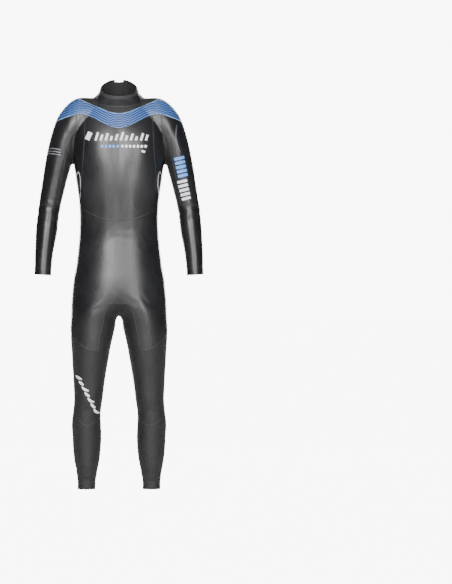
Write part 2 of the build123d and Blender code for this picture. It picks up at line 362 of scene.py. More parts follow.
# Each cut: the seam's signed distance, and where it applies.
JUST_FRONT, JUST_BACK = MID_Y + 5, MID_Y - 5
CUTS = (
    (under_rim, part(low=1300)),
    (past(under_rim, BINDING_DEPTH), part(low=1300)),
    (past(under_rim, COLLAR_DEPTH), part(low=1300, wide=95)),
    (across(ARMHOLE), part(low=1120)),
    (above(BAND_FOOT), lambda p: (p[:, 2] > 1200) & ((p[:, 1] < JUST_FRONT) | (abs(p[:, 0]) > 120))),
    (above(BAND_TOP), part(low=1300, front=JUST_FRONT, wide=160)),
    (across(YOKE_SEAM), part(low=1330, wide=110)),
    (lambda p: p[:, 1] - MID_Y, lambda p: ~in_arm(p)),
    (across(SIDE_SEAM), part(940, 1340, front=JUST_FRONT)),
    (across(PRINCESS_SEAM), part(low=860, back=JUST_BACK)),
    (above(CHEST_SEAM), part(920, 1040, front=0)),
    (above(THIGH_SEAM), part(460, 580)),
    (across(GUSSET_SEAM), part(430, 660)),
    (above(SEAT_TOP), part(750, 890, back=0)),
    (above(SEAT_FOOT), part(630, 750, back=JUST_BACK)),
    (lambda p: p[:, 2] - KNEE_TOP, part(high=420, front=5)),
    (above(KNEE_FOOT, KNEE_X), part(high=300, front=5)),
    (above(BACK_KNEE, KNEE_X), part(high=380, back=JUST_BACK)),
    (lambda p: p[:, 2] - CUFF, part(high=60)),
    (lambda p: p[:, 2], part(high=60)),
    (lambda p: abs(p[:, 0]) - SLOT_HALF, part(low=820, back=30)),
    (elbow_line, in_arm),
    (past(past_elbow, ELBOW_HALF), in_arm),
    (across(UNDERARM), part(low=960, sleeve=True)),
    (lambda p: p[:, 1] - FOREARM_Y, part(high=960, sleeve=True)),
    (past(from_wrist, CUFF), part(high=850, sleeve=True)),
    (from_wrist, part(high=850, sleeve=True)),
)

WASTE = "waste"


def panel_names(p: np.ndarray) -> np.ndarray:
    """Name of the sewn panel that each point lies on.

    Args:
        p: Suit points.
    Returns:
        Their names, where a later rule overrules an earlier one, and WASTE off the suit.
    """
    ax, y, h = abs(p[:, 0]), p[:, 1], p[:, 2]
    side = np.where(p[:, 0] > 0, "_left", "_right")
    front, arm, depth = y < MID_Y, in_arm(p), under_rim(p)
    over_band = h > along(BAND_FOOT, ax)
    names = np.char.add(np.full(len(p), "back_panel", dtype="U24"), side)

    def put(where: np.ndarray, name: str, sided: bool = True) -> None:
        """Name the chosen points, with their side unless the panel spans both."""
        names[where] = np.char.add(name, side[where]) if sided else name

    front, back, sleeve_front = front & ~arm, ~front & ~arm, arm & (y < FOREARM_Y)
    over_yoke, beyond = h > along(BAND_TOP, ax), past_elbow(p) > ELBOW_HALF
    put(front, "front_body_panel", False)
    put(front & (h > along(CHEST_SEAM, ax)), "chest_panel", False)
    put(front & (ax > along(SIDE_SEAM, h)) & (h > 940) & ~over_band, "side_panel")
    put(front & over_band, "chest_band", False)
    put(front & over_yoke, "shoulder_yoke")
    put(front & over_yoke & (ax < along(YOKE_SEAM, h)), "throat_yoke", False)
    put(front & (h < along(THIGH_SEAM, ax)), "thigh_front")
    put(back & (ax > along(PRINCESS_SEAM, h)) & (h > 860), "side_panel")
    put(back & (ax > along(PRINCESS_SEAM, h)) & over_band, "shoulder_band")
    put(back & (h < along(SEAT_TOP, ax)), "seat_panel")
    put(back & (h < along(SEAT_FOOT, ax)), "thigh_back")
    put(~arm & (h < 660) & (ax < along(GUSSET_SEAM, h)) & (h > along(THIGH_SEAM, ax)), "crotch_gusset")
    put(front & (h < KNEE_TOP), "knee_panel")
    put(front & (h < along(KNEE_FOOT, ax - KNEE_X)), "shin_panel")
    put(back & (h < along(BACK_KNEE, ax - KNEE_X)), "calf_panel")
    put(~arm & (h < CUFF), "ankle_cuff")
    put(~arm & (h < 0), WASTE, False)
    put(arm, "upper_sleeve")
    put(arm & over_band, "shoulder_band")
    put(arm & (ax < along(UNDERARM, h)) & ~over_band, "underarm_panel")
    put(arm & (elbow_line(p) < 0), "elbow_panel")
    put(arm & beyond, "forearm_back")
    put(sleeve_front & beyond, "forearm_front")
    put(arm & (from_wrist(p) < CUFF), "wrist_cuff")
    put(arm & (from_wrist(p) < 0), WASTE, False)
    put((ax < along(YOKE_SEAM, h)) & (depth < COLLAR_DEPTH) & ~arm & (h > 1300), "collar", False)
    put((depth < BINDING_DEPTH) & ~arm & (h > 1300) & (ax < 90), "collar_binding", False)
    put((depth < 0) & (h > 1300) & (ax < 100), WASTE, False)
    put(back & (ax < SLOT_HALF) & (h > SLOT_BOTTOM), WASTE, False)
    return names


# ------------------------------------------------------------------ body form
@dataclass
class BodyForm:
    """The filled suit as one closed skin, before it is cut into panels."""

    voxel: float = 4.0
    segments: int = 72
    # torso and leg: height, centre x, half width, front y, back y, squareness
    trunk: tuple = (
        (-14, 115, 31.5, -29.5, 33.5, 2.0), (0, 115, 32, -30, 34, 2.0), (24, 115, 32, -30, 34, 2.0),
        (62, 114, 37, -37, 43, 2.0), (103, 114, 45, -42, 57, 2.0), (150, 114, 50, -44, 67, 2.0),
        (188, 114, 51.5, -46, 70, 2.0), (230, 116, 51.5, -48, 66, 2.0), (273, 114, 49, -52, 57, 2.0),
        (315, 109, 50, -57, 52, 2.1), (358, 107, 53, -62, 54, 2.1), (400, 105, 57, -68, 60, 2.0),
        (443, 103, 62, -75, 67, 2.0), (486, 100, 67, -81, 75, 2.0), (528, 97, 73, -88, 83, 2.0),
        (571, 93, 79, -94, 93, 2.0), (613, 86, 83.5, -101, 106, 2.0), (635, 72, 97, -104, 111, 2.05),
        (665, 45, 123, -107, 118, 2.1), (700, 18, 147, -110, 121, 2.2), (745, 3, 157, -110, 115, 2.3),
        (790, 0, 151, -106, 103, 2.3), (830, 0, 146, -103, 98.4, 2.3), (911, 0, 139, -100, 94.1, 2.3),
        (1005, 0, 140, -112, 89.1, 2.3), (1090, 0, 151, -124, 84.6, 2.35), (1180, 0, 162, -128, 79.9, 2.4),
        (1260, 0, 164, -119, 75.6, 2.35), (1320, 0, 146, -100, 72.4, 2.2), (1368, 0, 104, -80, 69.9, 2.1),
        (1400, 0, 74, -66, 68.2, 2.0), (1430, 0, 63, -61, 66.6, 2.0), (1462, 0, 59, -60, 64.9, 2.0),
        (1480, 0, 58, -60, 64.0, 2.0),
    )
    # arm: centre x, height, lean, half width, half depth, centre y
    arm: tuple = (
        (270.4, 744.5, 3.5, 29.5, 29.5, -18), (269.5, 759, 3.5, 30, 30, -18), (268, 783, 3.5, 30, 30, -18),
        (265.5, 826, 3.5, 31.5, 33, -14), (261, 868, 5, 34, 37, -9), (256, 912, 6, 37.5, 41, -4),
        (251.5, 955, 6.5, 38.5, 42, 0), (246, 998, 7, 38.5, 43, 1), (234, 1060, 9, 41, 47, -1),
        (216, 1145, 10, 46, 55, -4), (201, 1200, 13, 50, 60, -7), (184, 1250, 22, 54, 64, -10),
        (160, 1290, 42, 63, 67, -12), (125, 1318, 62, 69, 65, -13), (70, 1322, 80, 62, 60, -13),
    )

    # muscle forms: on the back or front, height, middle and width across, middle and width up
    muscles: tuple = (
        (Face.FRONT, 5.0, 72, 48, 1205, 55), (Face.FRONT, -2.2, 0, 16, 1210, 90),
        (Face.FRONT, -1.6, 0, 14, 1000, 90), (Face.FRONT, 2.2, 44, 24, 985, 80),
        (Face.BACK, 7.0, 82, 36, 1225, 80), (Face.BACK, 4.5, 62, 30, 1000, 90),
        (Face.BACK, 4.0, 78, 42, 690, 42), (Face.FRONT, 2.5, KNEE_X, 22, 318, 26),
        (Face.FRONT, -1.2, KNEE_X, 30, 280, 14), (Face.BACK, 2.0, 132, 20, 205, 50),
        (Face.BACK, 2.0, 98, 18, 210, 50),
    )

    def rings(self, side: Side) -> tuple:
        """Rings of the trunk half and of the arm on one side.

        Args:
            side: Which side.
        Returns:
            The trunk's rings and the arm's, each ring an array of points.
        """
        angle = np.linspace(0, 2 * math.pi, self.segments, endpoint=False)
        cos, sin = np.cos(angle), np.sin(angle)
        rows = np.array(self.trunk, float)
        heights = np.arange(rows[0, 0], rows[-1, 0], 6.0)
        table = smooth_line(rows[:, 0], rows[:, 1:], heights)
        trunk = []
        for height, (x, wide, front, back, square) in zip(heights, table):
            px = x + wide * np.sign(cos) * abs(cos) ** (2 / square)
            py = (front + back) / 2 + (back - front) / 2 * np.sign(sin) * abs(sin) ** (2 / square)
            trunk.append(np.stack([side.value * px, py, np.full_like(px, height)], axis=1))
        rows = np.array(self.arm, float)
        run = run_along(rows[:, :2])
        table = smooth_line(run, rows, np.arange(0, run[-1], 6.0))
        arm = []
        for x, height, lean, wide, deep, y in table:
            tilt = math.radians(lean)
            px, pz = x + wide * cos * math.cos(tilt), height + wide * cos * math.sin(tilt)
            arm.append(np.stack([side.value * px, y + deep * sin, pz], axis=1))
        return trunk, arm

    def tube(self, rings: list, start: int) -> list:
        """Faces of a closed tube; start is the number of its first point."""
        last = start + (len(rings) - 1) * self.segments
        ends = [tuple(start + s for s in reversed(range(self.segments))),
                tuple(last + s for s in range(self.segments))]
        return grid(len(rings), self.segments, start, closed=True) + ends

    def build(self) -> tuple:
        """Fuse the tubes, smooth them and work the body's relief in.

        Returns:
            Suit points, and the faces as lists of point numbers.
        """
        points, faces = [], []
        for side in Side:
            for rings in self.rings(side):
                faces += self.tube(rings, len(points) * self.segments)
                points += rings
        obj = mesh_object("body_form", np.concatenate(points), faces)
        face_outwards(obj)
        remesh = obj.modifiers.new("fuse", "REMESH")
        remesh.mode, remesh.voxel_size = "VOXEL", self.voxel * MM
        smooth = obj.modifiers.new("smooth", "SMOOTH")
        smooth.factor, smooth.iterations = 0.5, 9
        apply_all(obj)
        co, no = np.empty(len(obj.data.vertices) * 3), np.empty(len(obj.data.vertices) * 3)
        obj.data.vertices.foreach_get("co", co)
        obj.data.vertices.foreach_get("normal", no)
        p, n = co.reshape(-1, 3) / MM, no.reshape(-1, 3)
        p[:, 2] += NECK_HEIGHT
        faces = [tuple(f.vertices) for f in obj.data.polygons]
        bpy.data.objects.remove(obj)
        p = p + n * self.relief(p, n)[:, None]
        return self.flatten_zip(p), faces

    def relief(self, p: np.ndarray, n: np.ndarray) -> np.ndarray:
        """Muscle forms and the folds of the cloth.

        Args:
            p: Suit points.
            n: The skin's normals there.
        Returns:
            How far each point moves along its normal.
        """
        ax, y, h = abs(p[:, 0]), p[:, 1], p[:, 2]
        front, back = ramp(-n[:, 1], -0.1, 0.5), ramp(n[:, 1], -0.1, 0.5)
        rise = np.zeros(len(p))
        for face, lift, x, wide, height, tall in self.muscles:
            rise += lift * (front if face is Face.FRONT else back) * bump(ax, x, wide) * bump(h, height, tall)
        arm = in_arm(p)
        sway, broad = wander(p, 42.0), wander(p, 95.0)
        rise += 0.8 * broad
        # drag folds that run from the armpit towards the band
        pit = bump(ax, 158, 26) * bump(h, 1190, 62)
        rise += 1.5 * pit * np.sin((ax * 0.9 - (h - 1150) * 0.16) / 5.2 + 3.0 * sway)
        # soft rings round the elbows and the backs of the knees
        rise += 0.9 * arm * bump(h, 985, 42) * np.sin(h / 7.5 + 4 * sway + y / 16) * (0.4 + 0.6 * ramp(-y, -20, 20))
        rise += 0.8 * back * (h < 420) * bump(h, 322, 32) * np.sin(h / 6.5 + 4 * sway)
        # slack round the waist, groin and ankles
        rise += 0.22 * ~arm * bump(h, 880, 60) * np.sin(h / 9.0 + 5 * sway + ax / 30)
        rise += 0.5 * front * bump(h, 655, 45) * bump(ax, 88, 60) * np.sin((h + ax * 0.75) / 8.0 + 3 * sway)
        rise += 0.6 * (h < 110) * bump(h, 66, 30) * np.sin(h / 6.0 + 4 * sway)
        # puckers drawn in by the zip
        pull = back * (ax > 12) * np.exp(-np.maximum(ax - 16, 0) / 17)
        pull = pull * ramp(h, 840, 905) * (1 - ramp(h, 1330, 1400))
        rise += 1.3 * pull * np.sin(h / 3.9 + 2.2 * np.sign(p[:, 0]) + 3.5 * sway + ax / 14)
        rise += 2.1 * pull * (1 - ramp(h, 1180, 1290)) * np.sin(h / 7.2 + 1.4 * np.sign(p[:, 0]) + 2.5 * sway)
        return rise

    def flatten_zip(self, p: np.ndarray) -> np.ndarray:
        """Draw the back in to the zip's straight line."""
        near = (1 - ramp(abs(p[:, 0]), 19, 46)) * ramp(p[:, 2], 770, 830) * (p[:, 1] > 20)
        p[:, 1] += near * (zip_y(p[:, 2]) - p[:, 1]) * (1 - 0.25 * ramp(abs(p[:, 0]), 14, 20))
        return p


@dataclass
class CutBody:
    """The body form split along every seam line."""

    points: np.ndarray
    faces: list
    snap: float = 0.45

    def cut(self) -> None:
        """Split faces along each seam line in turn, and note points, normals, edges and names."""
        shape = bmesh.new()
        verts = [shape.verts.new(p) for p in self.points.tolist()]
        for face in self.faces:
            shape.faces.new([verts[i] for i in face])
        for distance, where in CUTS:
            shape.verts.index_update()
            shape.verts.ensure_lookup_table()
            p = np.array([v.co[:] for v in shape.verts])
            near = where(p)
            d = np.where(near, distance(p), np.nan)
            d[np.abs(d) < self.snap] = 0.0
            on_line = [shape.verts[i] for i in np.flatnonzero(d == 0)]
            for edge in list(shape.edges):
                a, b = edge.verts
                da, db = d[a.index], d[b.index]
                if da * db < 0:
                    _, new = bmesh.utils.edge_split(edge, a, da / (da - db))
                    on_line.append(new)
            bmesh.ops.connect_verts(shape, verts=on_line)
        shape.normal_update()
        shape.verts.index_update()
        self.points = np.array([v.co[:] for v in shape.verts])
        self.normals = np.array([v.normal[:] for v in shape.verts])
        self.faces = [tuple(v.index for v in f.verts) for f in shape.faces]
        middles = np.array([f.calc_center_median()[:] for f in shape.faces])
        self.names = panel_names(middles)
        shape.faces.index_update()
        self.edges = [(e.verts[0].index, e.verts[1].index, tuple(f.index for f in e.link_faces))
                      for e in shape.edges]
        self.tree = BVHTree.FromBMesh(shape)
        shape.free()

    def onto(self, x: float, height: float, face: Face) -> tuple:
        """Point of the skin and its normal, seen from the front or the back."""
        return self.tree.ray_cast(Vector((x, OUTSIDE * face.value, height)), Vector((0, -face.value, 0)))[:2]

    def over(self, x: float, height: float, out: float) -> tuple:
        """Point over the skin of the back."""
        hit, normal = self.onto(x, height, Face.BACK)
        return tuple(hit + normal * out)


# ------------------------------------------------------------------ finishes
@dataclass(frozen=True)
class Look:
    """How a finish answers light, with threads per metre in its weave."""

    colour: tuple
    worn: tuple
    rough: float
    spread: float = 0.08
    weave: float = 0.0
    relief: float = 0.15
    sheen: float = 0.0
    metallic: float = 0.0
    coat: float = 0.0


class Finish(Enum):
    """The finishes of the suit; the names match the record's slots where one exists."""

    SMOOTHSKIN = Look((0.0055, 0.0055, 0.0065), (0.0095, 0.0095, 0.011), 0.37, 0.08, relief=0.10, coat=0.12)
    JERSEY = Look((0.0032, 0.0032, 0.0036), (0.006, 0.006, 0.0066), 0.62, 0.06, weave=520, relief=0.3, sheen=0.03)
    LINING = Look((0.006, 0.006, 0.007), (0.011, 0.011, 0.012), 0.85, 0.05, weave=420, relief=0.4, sheen=0.05)
    BINDING = Look((0.013, 0.013, 0.015), (0.024, 0.024, 0.026), 0.52, 0.06, weave=700, relief=0.3, sheen=0.1)
    SEAM = Look((0.006, 0.006, 0.007), (0.012, 0.012, 0.013), 0.5, 0.06, relief=0.2)
    THREAD = Look((0.11, 0.115, 0.125), (0.17, 0.175, 0.19), 0.7, 0.05, weave=900, relief=0.3)
    ZIP_TAPE = Look((0.012, 0.012, 0.014), (0.03, 0.03, 0.033), 0.66, 0.06, weave=620, relief=0.5, sheen=0.1)
    ZIP_FLAP = Look((0.018, 0.018, 0.021), (0.035, 0.035, 0.04), 0.4, 0.08, weave=300, relief=0.2)
    ZIP_TEETH = Look((0.014, 0.014, 0.015), (0.03, 0.03, 0.03), 0.34, 0.06, relief=0.05)
    SLIDER_METAL = Look((0.03, 0.03, 0.033), (0.09, 0.09, 0.095), 0.3, 0.1, relief=0.05, metallic=0.85)
    PULLER_PLASTIC = Look((0.62, 0.64, 0.68), (0.46, 0.48, 0.52), 0.42, 0.06, relief=0.08)
    CLOSURE_TAPE = Look((0.010, 0.010, 0.012), (0.03, 0.03, 0.034), 0.8, 0.06, weave=800, relief=0.8, sheen=0.2)
    PRINT_WHITE = Look((0.82, 0.83, 0.85), (0.7, 0.71, 0.74), 0.44, 0.08, weave=520, relief=0.15)
    PRINT_BLUE = Look((0.06, 0.23, 0.66), (0.09, 0.3, 0.75), 0.42, 0.08, weave=520, relief=0.15)
    PRINT_PALE = Look((0.3, 0.31, 0.33), (0.24, 0.25, 0.27), 0.44, 0.08, weave=520, relief=0.15)
    # Grey ink: print on the back wing, and a painted highlight line down the upper sleeve.
    PRINT_GREY = Look((0.075, 0.08, 0.09), (0.13, 0.14, 0.155), 0.4, 0.08, weave=520, relief=0.15)


class NodeMaker:
    """Places shader nodes in one tree and joins them."""

    def __init__(self, tree: bpy.types.NodeTree) -> None:
        """Work in one tree."""
        self.tree = tree

    def add(self, kind: str, inputs: dict | None = None, **settings: object) -> bpy.types.Node:
        """Add a node.

        Args:
            kind: Node type.
            inputs: Constants or output sockets, by input name or number.
            settings: Attributes of the node.
        Returns:
            The node.
        """
        node = self.tree.nodes.new(kind)
        for name, value in settings.items():
            setattr(node, name, value)
        for key, value in (inputs or {}).items():
            socket = node.inputs[key]
            if isinstance(value, bpy.types.NodeSocket):
                self.tree.links.new(value, socket)
            else:
                socket.default_value = value
        return node

    def math(self, operation: str, *values: object) -> bpy.types.NodeSocket:
        """Result of a math node."""
        return self.add("ShaderNodeMath", dict(enumerate(values)), operation=operation).outputs[0]

    def blend(self, factor: object, first: object, second: object) -> bpy.types.NodeSocket:
        """Mix of two colours."""
        return self.add("ShaderNodeMix", {0: factor, 6: first, 7: second}, data_type="RGBA").outputs[2]

    def noise(self, place: object, scale: object, detail: float, rough: float = 0.5) -> bpy.types.NodeSocket:
        """Value of a noise texture."""
        return self.add("ShaderNodeTexNoise", {"Vector": place, "Scale": scale, "Detail": detail,
                                               "Roughness": rough}).outputs[0]

    def spread(self, value: object, low: float, high: float, top: float = 1.0) -> bpy.types.NodeSocket:
        """Value from 0 at low to top at high, held at the ends."""
        return self.add("ShaderNodeMapRange", {"Value": value, "From Min": low, "From Max": high,
                                               "To Max": top}).outputs[0]

    def run(self) -> bpy.types.bpy_prop_collection:
        """The two parts of the piece's own UV."""
        return self.add("ShaderNodeSeparateXYZ", {0: self.add("ShaderNodeUVMap", uv_map="run").outputs[0]}).outputs


def bare_material(name: str) -> tuple:
    """New material with an empty node tree, and its node maker."""
    material = bpy.data.materials.new(name)
    material.use_nodes = True
    material.node_tree.nodes.clear()
    return material, NodeMaker(material.node_tree)


def new_group(name: str, ins: tuple, outs: tuple) -> tuple:
    """Empty shader group with float sockets.

    Args:
        name: Its name.
        ins: Inputs, each a name and a default.
        outs: Names of the outputs.
    Returns:
        The group, its node maker, and its input and output nodes.
    """
    group = bpy.data.node_groups.new(name, "ShaderNodeTree")
    for label, default in ins:
        group.interface.new_socket(label, in_out="INPUT", socket_type="NodeSocketFloat").default_value = default
    for label in outs:
        group.interface.new_socket(label, in_out="OUTPUT", socket_type="NodeSocketFloat")
    maker = NodeMaker(group)
    return group, maker, maker.add("NodeGroupInput"), maker.add("NodeGroupOutput")


def knit_group() -> bpy.types.NodeTree:
    """Fine knit: two crossed thread directions and their uneven pull."""
    group, m, ins, outs = new_group("Knit", (("Threads", 500.0),), ("Height",))
    place = m.add("ShaderNodeTexCoord").outputs["Object"]
    x, y, z = m.add("ShaderNodeSeparateXYZ", {0: place}).outputs
    turn = m.math("MULTIPLY", ins.outputs[0], 2 * math.pi)
    around = m.math("ADD", x, y)
    one = m.math("SINE", m.math("MULTIPLY", m.math("ADD", around, z), turn))
    two = m.math("SINE", m.math("MULTIPLY", m.math("SUBTRACT", around, z), turn))
    loops = m.math("MULTIPLY", one, two)
    uneven = m.noise(place, 320.0, 2.0)
    m.tree.links.new(m.math("ADD", m.math("MULTIPLY", loops, 0.5), uneven), outs.inputs[0])
    return group


def skin_group() -> bpy.types.NodeTree:
    """Handling marks: broad cloudy wear, fine scuffs and the closed-cell grain."""
    group, m, ins, outs = new_group("Wear", (("Size", 1.0),), ("Cloud", "Scuff", "Grain"))
    place = m.add("ShaderNodeTexCoord").outputs["Object"]
    cloud = m.noise(place, m.math("MULTIPLY", ins.outputs[0], 9.0), 4.0, 0.6)
    streak = m.add("ShaderNodeMapping", {"Vector": place, "Scale": (60.0, 60.0, 9.0)}).outputs[0]
    scuff = m.spread(m.noise(streak, 2.0, 6.0), 0.58, 0.78)
    for n, value in enumerate((m.spread(cloud, 0.35, 0.68), scuff, m.noise(place, 1400.0, 2.0))):
        m.tree.links.new(value, outs.inputs[n])
    return group


def stitch_group() -> bpy.types.NodeTree:
    """Thread passes across a seam, from the seam's own UV in metres."""
    group, m, ins, outs = new_group("Stitch", (("Per metre", 330.0),), ("Thread", "Height"))
    along_seam, over_seam, _ = m.run()
    skew = m.math("ADD", along_seam, m.math("MULTIPLY", over_seam, 0.0012))
    wave = m.math("SINE", m.math("MULTIPLY", skew, m.math("MULTIPLY", ins.outputs[0], 2 * math.pi)))
    edge = m.math("ABSOLUTE", m.math("SUBTRACT", over_seam, 0.5))
    thread = m.math("MULTIPLY", m.spread(wave, -0.2, 0.7), m.spread(edge, 0.44, 0.3))
    m.tree.links.new(thread, outs.inputs[0])
    m.tree.links.new(wave, outs.inputs[1])
    return group


@dataclass
class Materials:
    """All the materials, made once and shared."""

    made: dict

    @classmethod
    def build(cls) -> "Materials":
        """Make the groups and one material for each finish."""
        cls.knit, cls.wear, cls.stitch = knit_group(), skin_group(), stitch_group()
        self = cls({})
        for finish in Finish:
            self.made[finish] = self.one(finish.name.lower(), finish.value)
        self.made["seam"] = self.one("stitched_seam", Finish.SEAM.value, stitched=True)
        self.made["band"] = self.one("printed_band", Look((0.006, 0.026, 0.115), (0.008, 0.036, 0.15), 0.42, 0.08,
                                                          weave=520, relief=0.2, coat=0.05), band=True)
        return self

    def one(self, name: str, look: Look, stitched: bool = False, band: bool = False) -> bpy.types.Material:
        """One material.

        Args:
            name: Its name.
            look: The finish.
            stitched: Draw thread passes from the piece's UV.
            band: Draw the shoulder band's contour lines from the piece's UV.
        """
        material, m = bare_material(name)
        wear = m.add("ShaderNodeGroup", node_tree=self.wear)
        colour = m.blend(wear.outputs["Cloud"], (*look.colour, 1), (*look.worn, 1))
        height = m.math("MULTIPLY", wear.outputs["Grain"], 0.4)
        if look.weave:
            knit = m.add("ShaderNodeGroup", {"Threads": look.weave}, node_tree=self.knit)
            height = m.math("ADD", height, knit.outputs["Height"])
            colour = m.blend(m.math("MULTIPLY", knit.outputs["Height"], 0.22), colour, (*look.worn, 1))
        if stitched:
            stitch = m.add("ShaderNodeGroup", node_tree=self.stitch)
            colour = m.blend(m.math("MULTIPLY", stitch.outputs["Thread"], 0.5), colour, (0.035, 0.035, 0.038, 1))
            height = m.math("ADD", height, stitch.outputs["Height"])
        if band:
            colour = self.band_lines(m, colour)
        rough = m.math("ADD", look.rough - look.spread / 2,
                       m.math("MULTIPLY", m.math("ADD", wear.outputs["Cloud"], wear.outputs["Scuff"]), look.spread))
        bump = m.add("ShaderNodeBump", {"Height": height, "Strength": look.relief, "Distance": 0.0006})
        shader = m.add("ShaderNodeBsdfPrincipled", {
            "Base Color": colour, "Roughness": rough, "Metallic": look.metallic, "Normal": bump.outputs[0],
            "Sheen Weight": look.sheen, "Sheen Roughness": 0.4, "Coat Weight": look.coat, "Coat Roughness": 0.3})
        m.add("ShaderNodeOutputMaterial", {"Surface": shader.outputs[0]})
        return material

    def band_lines(self, m: NodeMaker, colour: bpy.types.NodeSocket) -> bpy.types.NodeSocket:
        """Contour lines of the shoulder band: UV x is the line number, UV y the height in the band."""
        number, height, _ = m.run()
        off = m.math("ABSOLUTE", m.math("SUBTRACT", m.math("FRACT", number), 0.5))
        colour = m.blend(m.spread(off, 0.5, 0.1, 0.45), colour, (0.014, 0.062, 0.24, 1))
        colour = m.blend(m.math("MULTIPLY", m.spread(off, 0.14, 0.06), 0.8), colour, (0.17, 0.33, 0.66, 1))
        edges = m.math("MAXIMUM", m.spread(height, 0.045, 0.03), m.spread(height, 0.94, 0.96))
        return m.blend(edges, colour, (0.25, 0.42, 0.7, 1))

    def give(self, obj: bpy.types.Object, *keys: Finish | str) -> None:
        """Put materials on an object, in slot order."""
        for key in keys:
            obj.data.materials.append(self.made[key])


# ------------------------------------------------------------------ stretches of cloth about the joints
@dataclass(frozen=True)
class Bend:
    """The stretch of cloth about one joint, and the body beyond it."""

    body: str
    start: tuple
    end: tuple

    def follow(self, obj: bpy.types.Object) -> None:
        """Bake the object's place into its mesh; the stretch's ends are worked out but not used."""
        tuple(to_frame([self.start])[0])
        tuple(to_frame([self.end])[0])
        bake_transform(obj)


def elbow_bend(side: Side) -> Bend:
    """Stretch about an elbow."""
    dx, dh = ELBOW_HALF * math.sin(ARM_LEAN), ELBOW_HALF * math.cos(ARM_LEAN)
    return Bend(f"forearm_{side.word}", (side.value * (ELBOW[0] - dx), 0, ELBOW[1] + dh),
                (side.value * (ELBOW[0] + dx), 0, ELBOW[1] - dh))


def knee_bend(side: Side) -> Bend:
    """Stretch about a knee."""
    x = side.value * KNEE_X
    return Bend(f"lower_leg_{side.word}", (x, 0, KNEE_TOP), (x, 0, KNEE_TOP - 120.0))


BENDING = {"upper_sleeve": elbow_bend, "underarm_panel": elbow_bend, "elbow_panel": elbow_bend,
           "thigh_back": knee_bend, "knee_panel": knee_bend, "calf_panel": knee_bend}
RIGID = {"forearm_front": "forearm_", "forearm_back": "forearm_", "wrist_cuff": "forearm_",
         "shin_panel": "lower_leg_", "ankle_cuff": "lower_leg_"}


def follow_zone(obj: bpy.types.Object, zone: str) -> None:
    """Attach a seam or print to "suit"; on a sleeve or leg zone only bake its place into its mesh."""
    if zone == "suit":
        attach(obj, "suit")
        return
    kind, side = zone.split("_")
    bend = elbow_bend if kind == "arm" else knee_bend
    bend(Side[side.upper()]).follow(obj)


def zone_of(p: tuple) -> str:
    """Zone of a point: one leg under the thighs, one sleeve under the armpit, or the suit."""
    side = "left" if p[0] > 0 else "right"
    if p[2] < 430:
        return f"leg_{side}"
    if 650 < p[2] < 1100 and abs(p[0]) > along(ARMHOLE, np.array([p[2]]))[0] - 2:
        return f"arm_{side}"
    return "suit"


# ------------------------------------------------------------------ panels
@dataclass(frozen=True)
class PanelSpec:
    """A sewn panel: the flat size it is cut to in metres, and its slot."""

    width: float
    length: float
    slot: str = "smoothskin"

    @property
    def outer(self) -> Finish | str:
        """Its outer material."""
        return "band" if self.slot == "printed_band" else Finish[self.slot.upper()]


PANELS = {
    "collar_binding": PanelSpec(0.01, 0.38, "binding"),
    "collar": PanelSpec(0.032, 0.39),
    "throat_yoke": PanelSpec(0.024, 0.157, "jersey"),
    "chest_band": PanelSpec(0.063, 0.33, "printed_band"),
    "chest_panel": PanelSpec(0.37, 0.3),
    "front_body_panel": PanelSpec(0.41, 0.505),
    "shoulder_yoke": PanelSpec(0.045, 0.097, "jersey"),
    "shoulder_band": PanelSpec(0.09, 0.19, "printed_band"),
    "side_panel": PanelSpec(0.113, 0.385),
    "back_panel": PanelSpec(0.15, 0.617),
    "seat_panel": PanelSpec(0.18, 0.215),
    "crotch_gusset": PanelSpec(0.215, 0.173, "jersey"),
    "thigh_front": PanelSpec(0.19, 0.17, "jersey"),
    "thigh_back": PanelSpec(0.212, 0.4, "jersey"),
    "knee_panel": PanelSpec(0.165, 0.148, "jersey"),
    "shin_panel": PanelSpec(0.134, 0.235, "jersey"),
    "calf_panel": PanelSpec(0.21, 0.306),
    "ankle_cuff": PanelSpec(0.027, 0.205, "jersey"),
    "upper_sleeve": PanelSpec(0.221, 0.345),
    "underarm_panel": PanelSpec(0.078, 0.28, "jersey"),
    "elbow_panel": PanelSpec(0.064, 0.25),
    "forearm_front": PanelSpec(0.124, 0.158),
    "forearm_back": PanelSpec(0.124, 0.158),
    "wrist_cuff": PanelSpec(0.027, 0.196),
}


def base_name(name: str) -> str:
    """Panel name without its side."""
    for side in Side:
        name = name.removesuffix("_" + side.word)
    return name


@dataclass
class Panels:
    """Every sewn panel as its own sheet of neoprene."""

    body: CutBody
    materials: Materials

    def build(self) -> None:
        """Make one mesh for each panel name."""
        for name in sorted(set(self.body.names) - {WASTE}):
            self.one(name)

    def one(self, name: str) -> None:
        """One panel: outer skin, thickness and finish, attached to its body unless it is a panel about a joint."""
        base, side = base_name(name), name.rsplit("_", 1)[-1]
        spec = PANELS[base]
        chosen = np.flatnonzero(self.body.names == name)
        used = sorted({v for f in chosen for v in self.body.faces[f]})
        number = {v: i for i, v in enumerate(used)}
        points = self.body.points[used]
        obj = mesh_object(f"panel_{name}", points, [[number[v] for v in self.body.faces[f]] for f in chosen])
        self.materials.give(obj, spec.outer, Finish.LINING)
        set_uv(obj, self.band_place(points))
        thicken(obj, SKIN, 1)
        shade(obj, 40)
        if base in BENDING:
            BENDING[base](Side[side.upper()]).follow(obj)
        else:
            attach(obj, RIGID[base] + side if base in RIGID else "suit")
        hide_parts(name)
        log.info("panel %s: %d faces", name, len(obj.data.polygons))

    def band_place(self, points: np.ndarray) -> np.ndarray:
        """Contour line number and share of the height in the shoulder band, for each point."""
        ax = abs(points[:, 0])
        rise = points[:, 2] - along(BAND_FOOT, ax)
        peak = sum(sign * np.maximum(0, 1 - abs(ax - at) / 7)
                   for sign, at in ((-0.8, 18), (0.7, 32), (0.8, 127), (-0.9, 140), (0.9, 153), (-0.7, 166)))
        lines = rise / BAND_LINE + 0.9 * peak * (points[:, 1] < 20)
        return np.stack([lines, rise / (along(BAND_TOP, ax) - along(BAND_FOOT, ax))], axis=1)


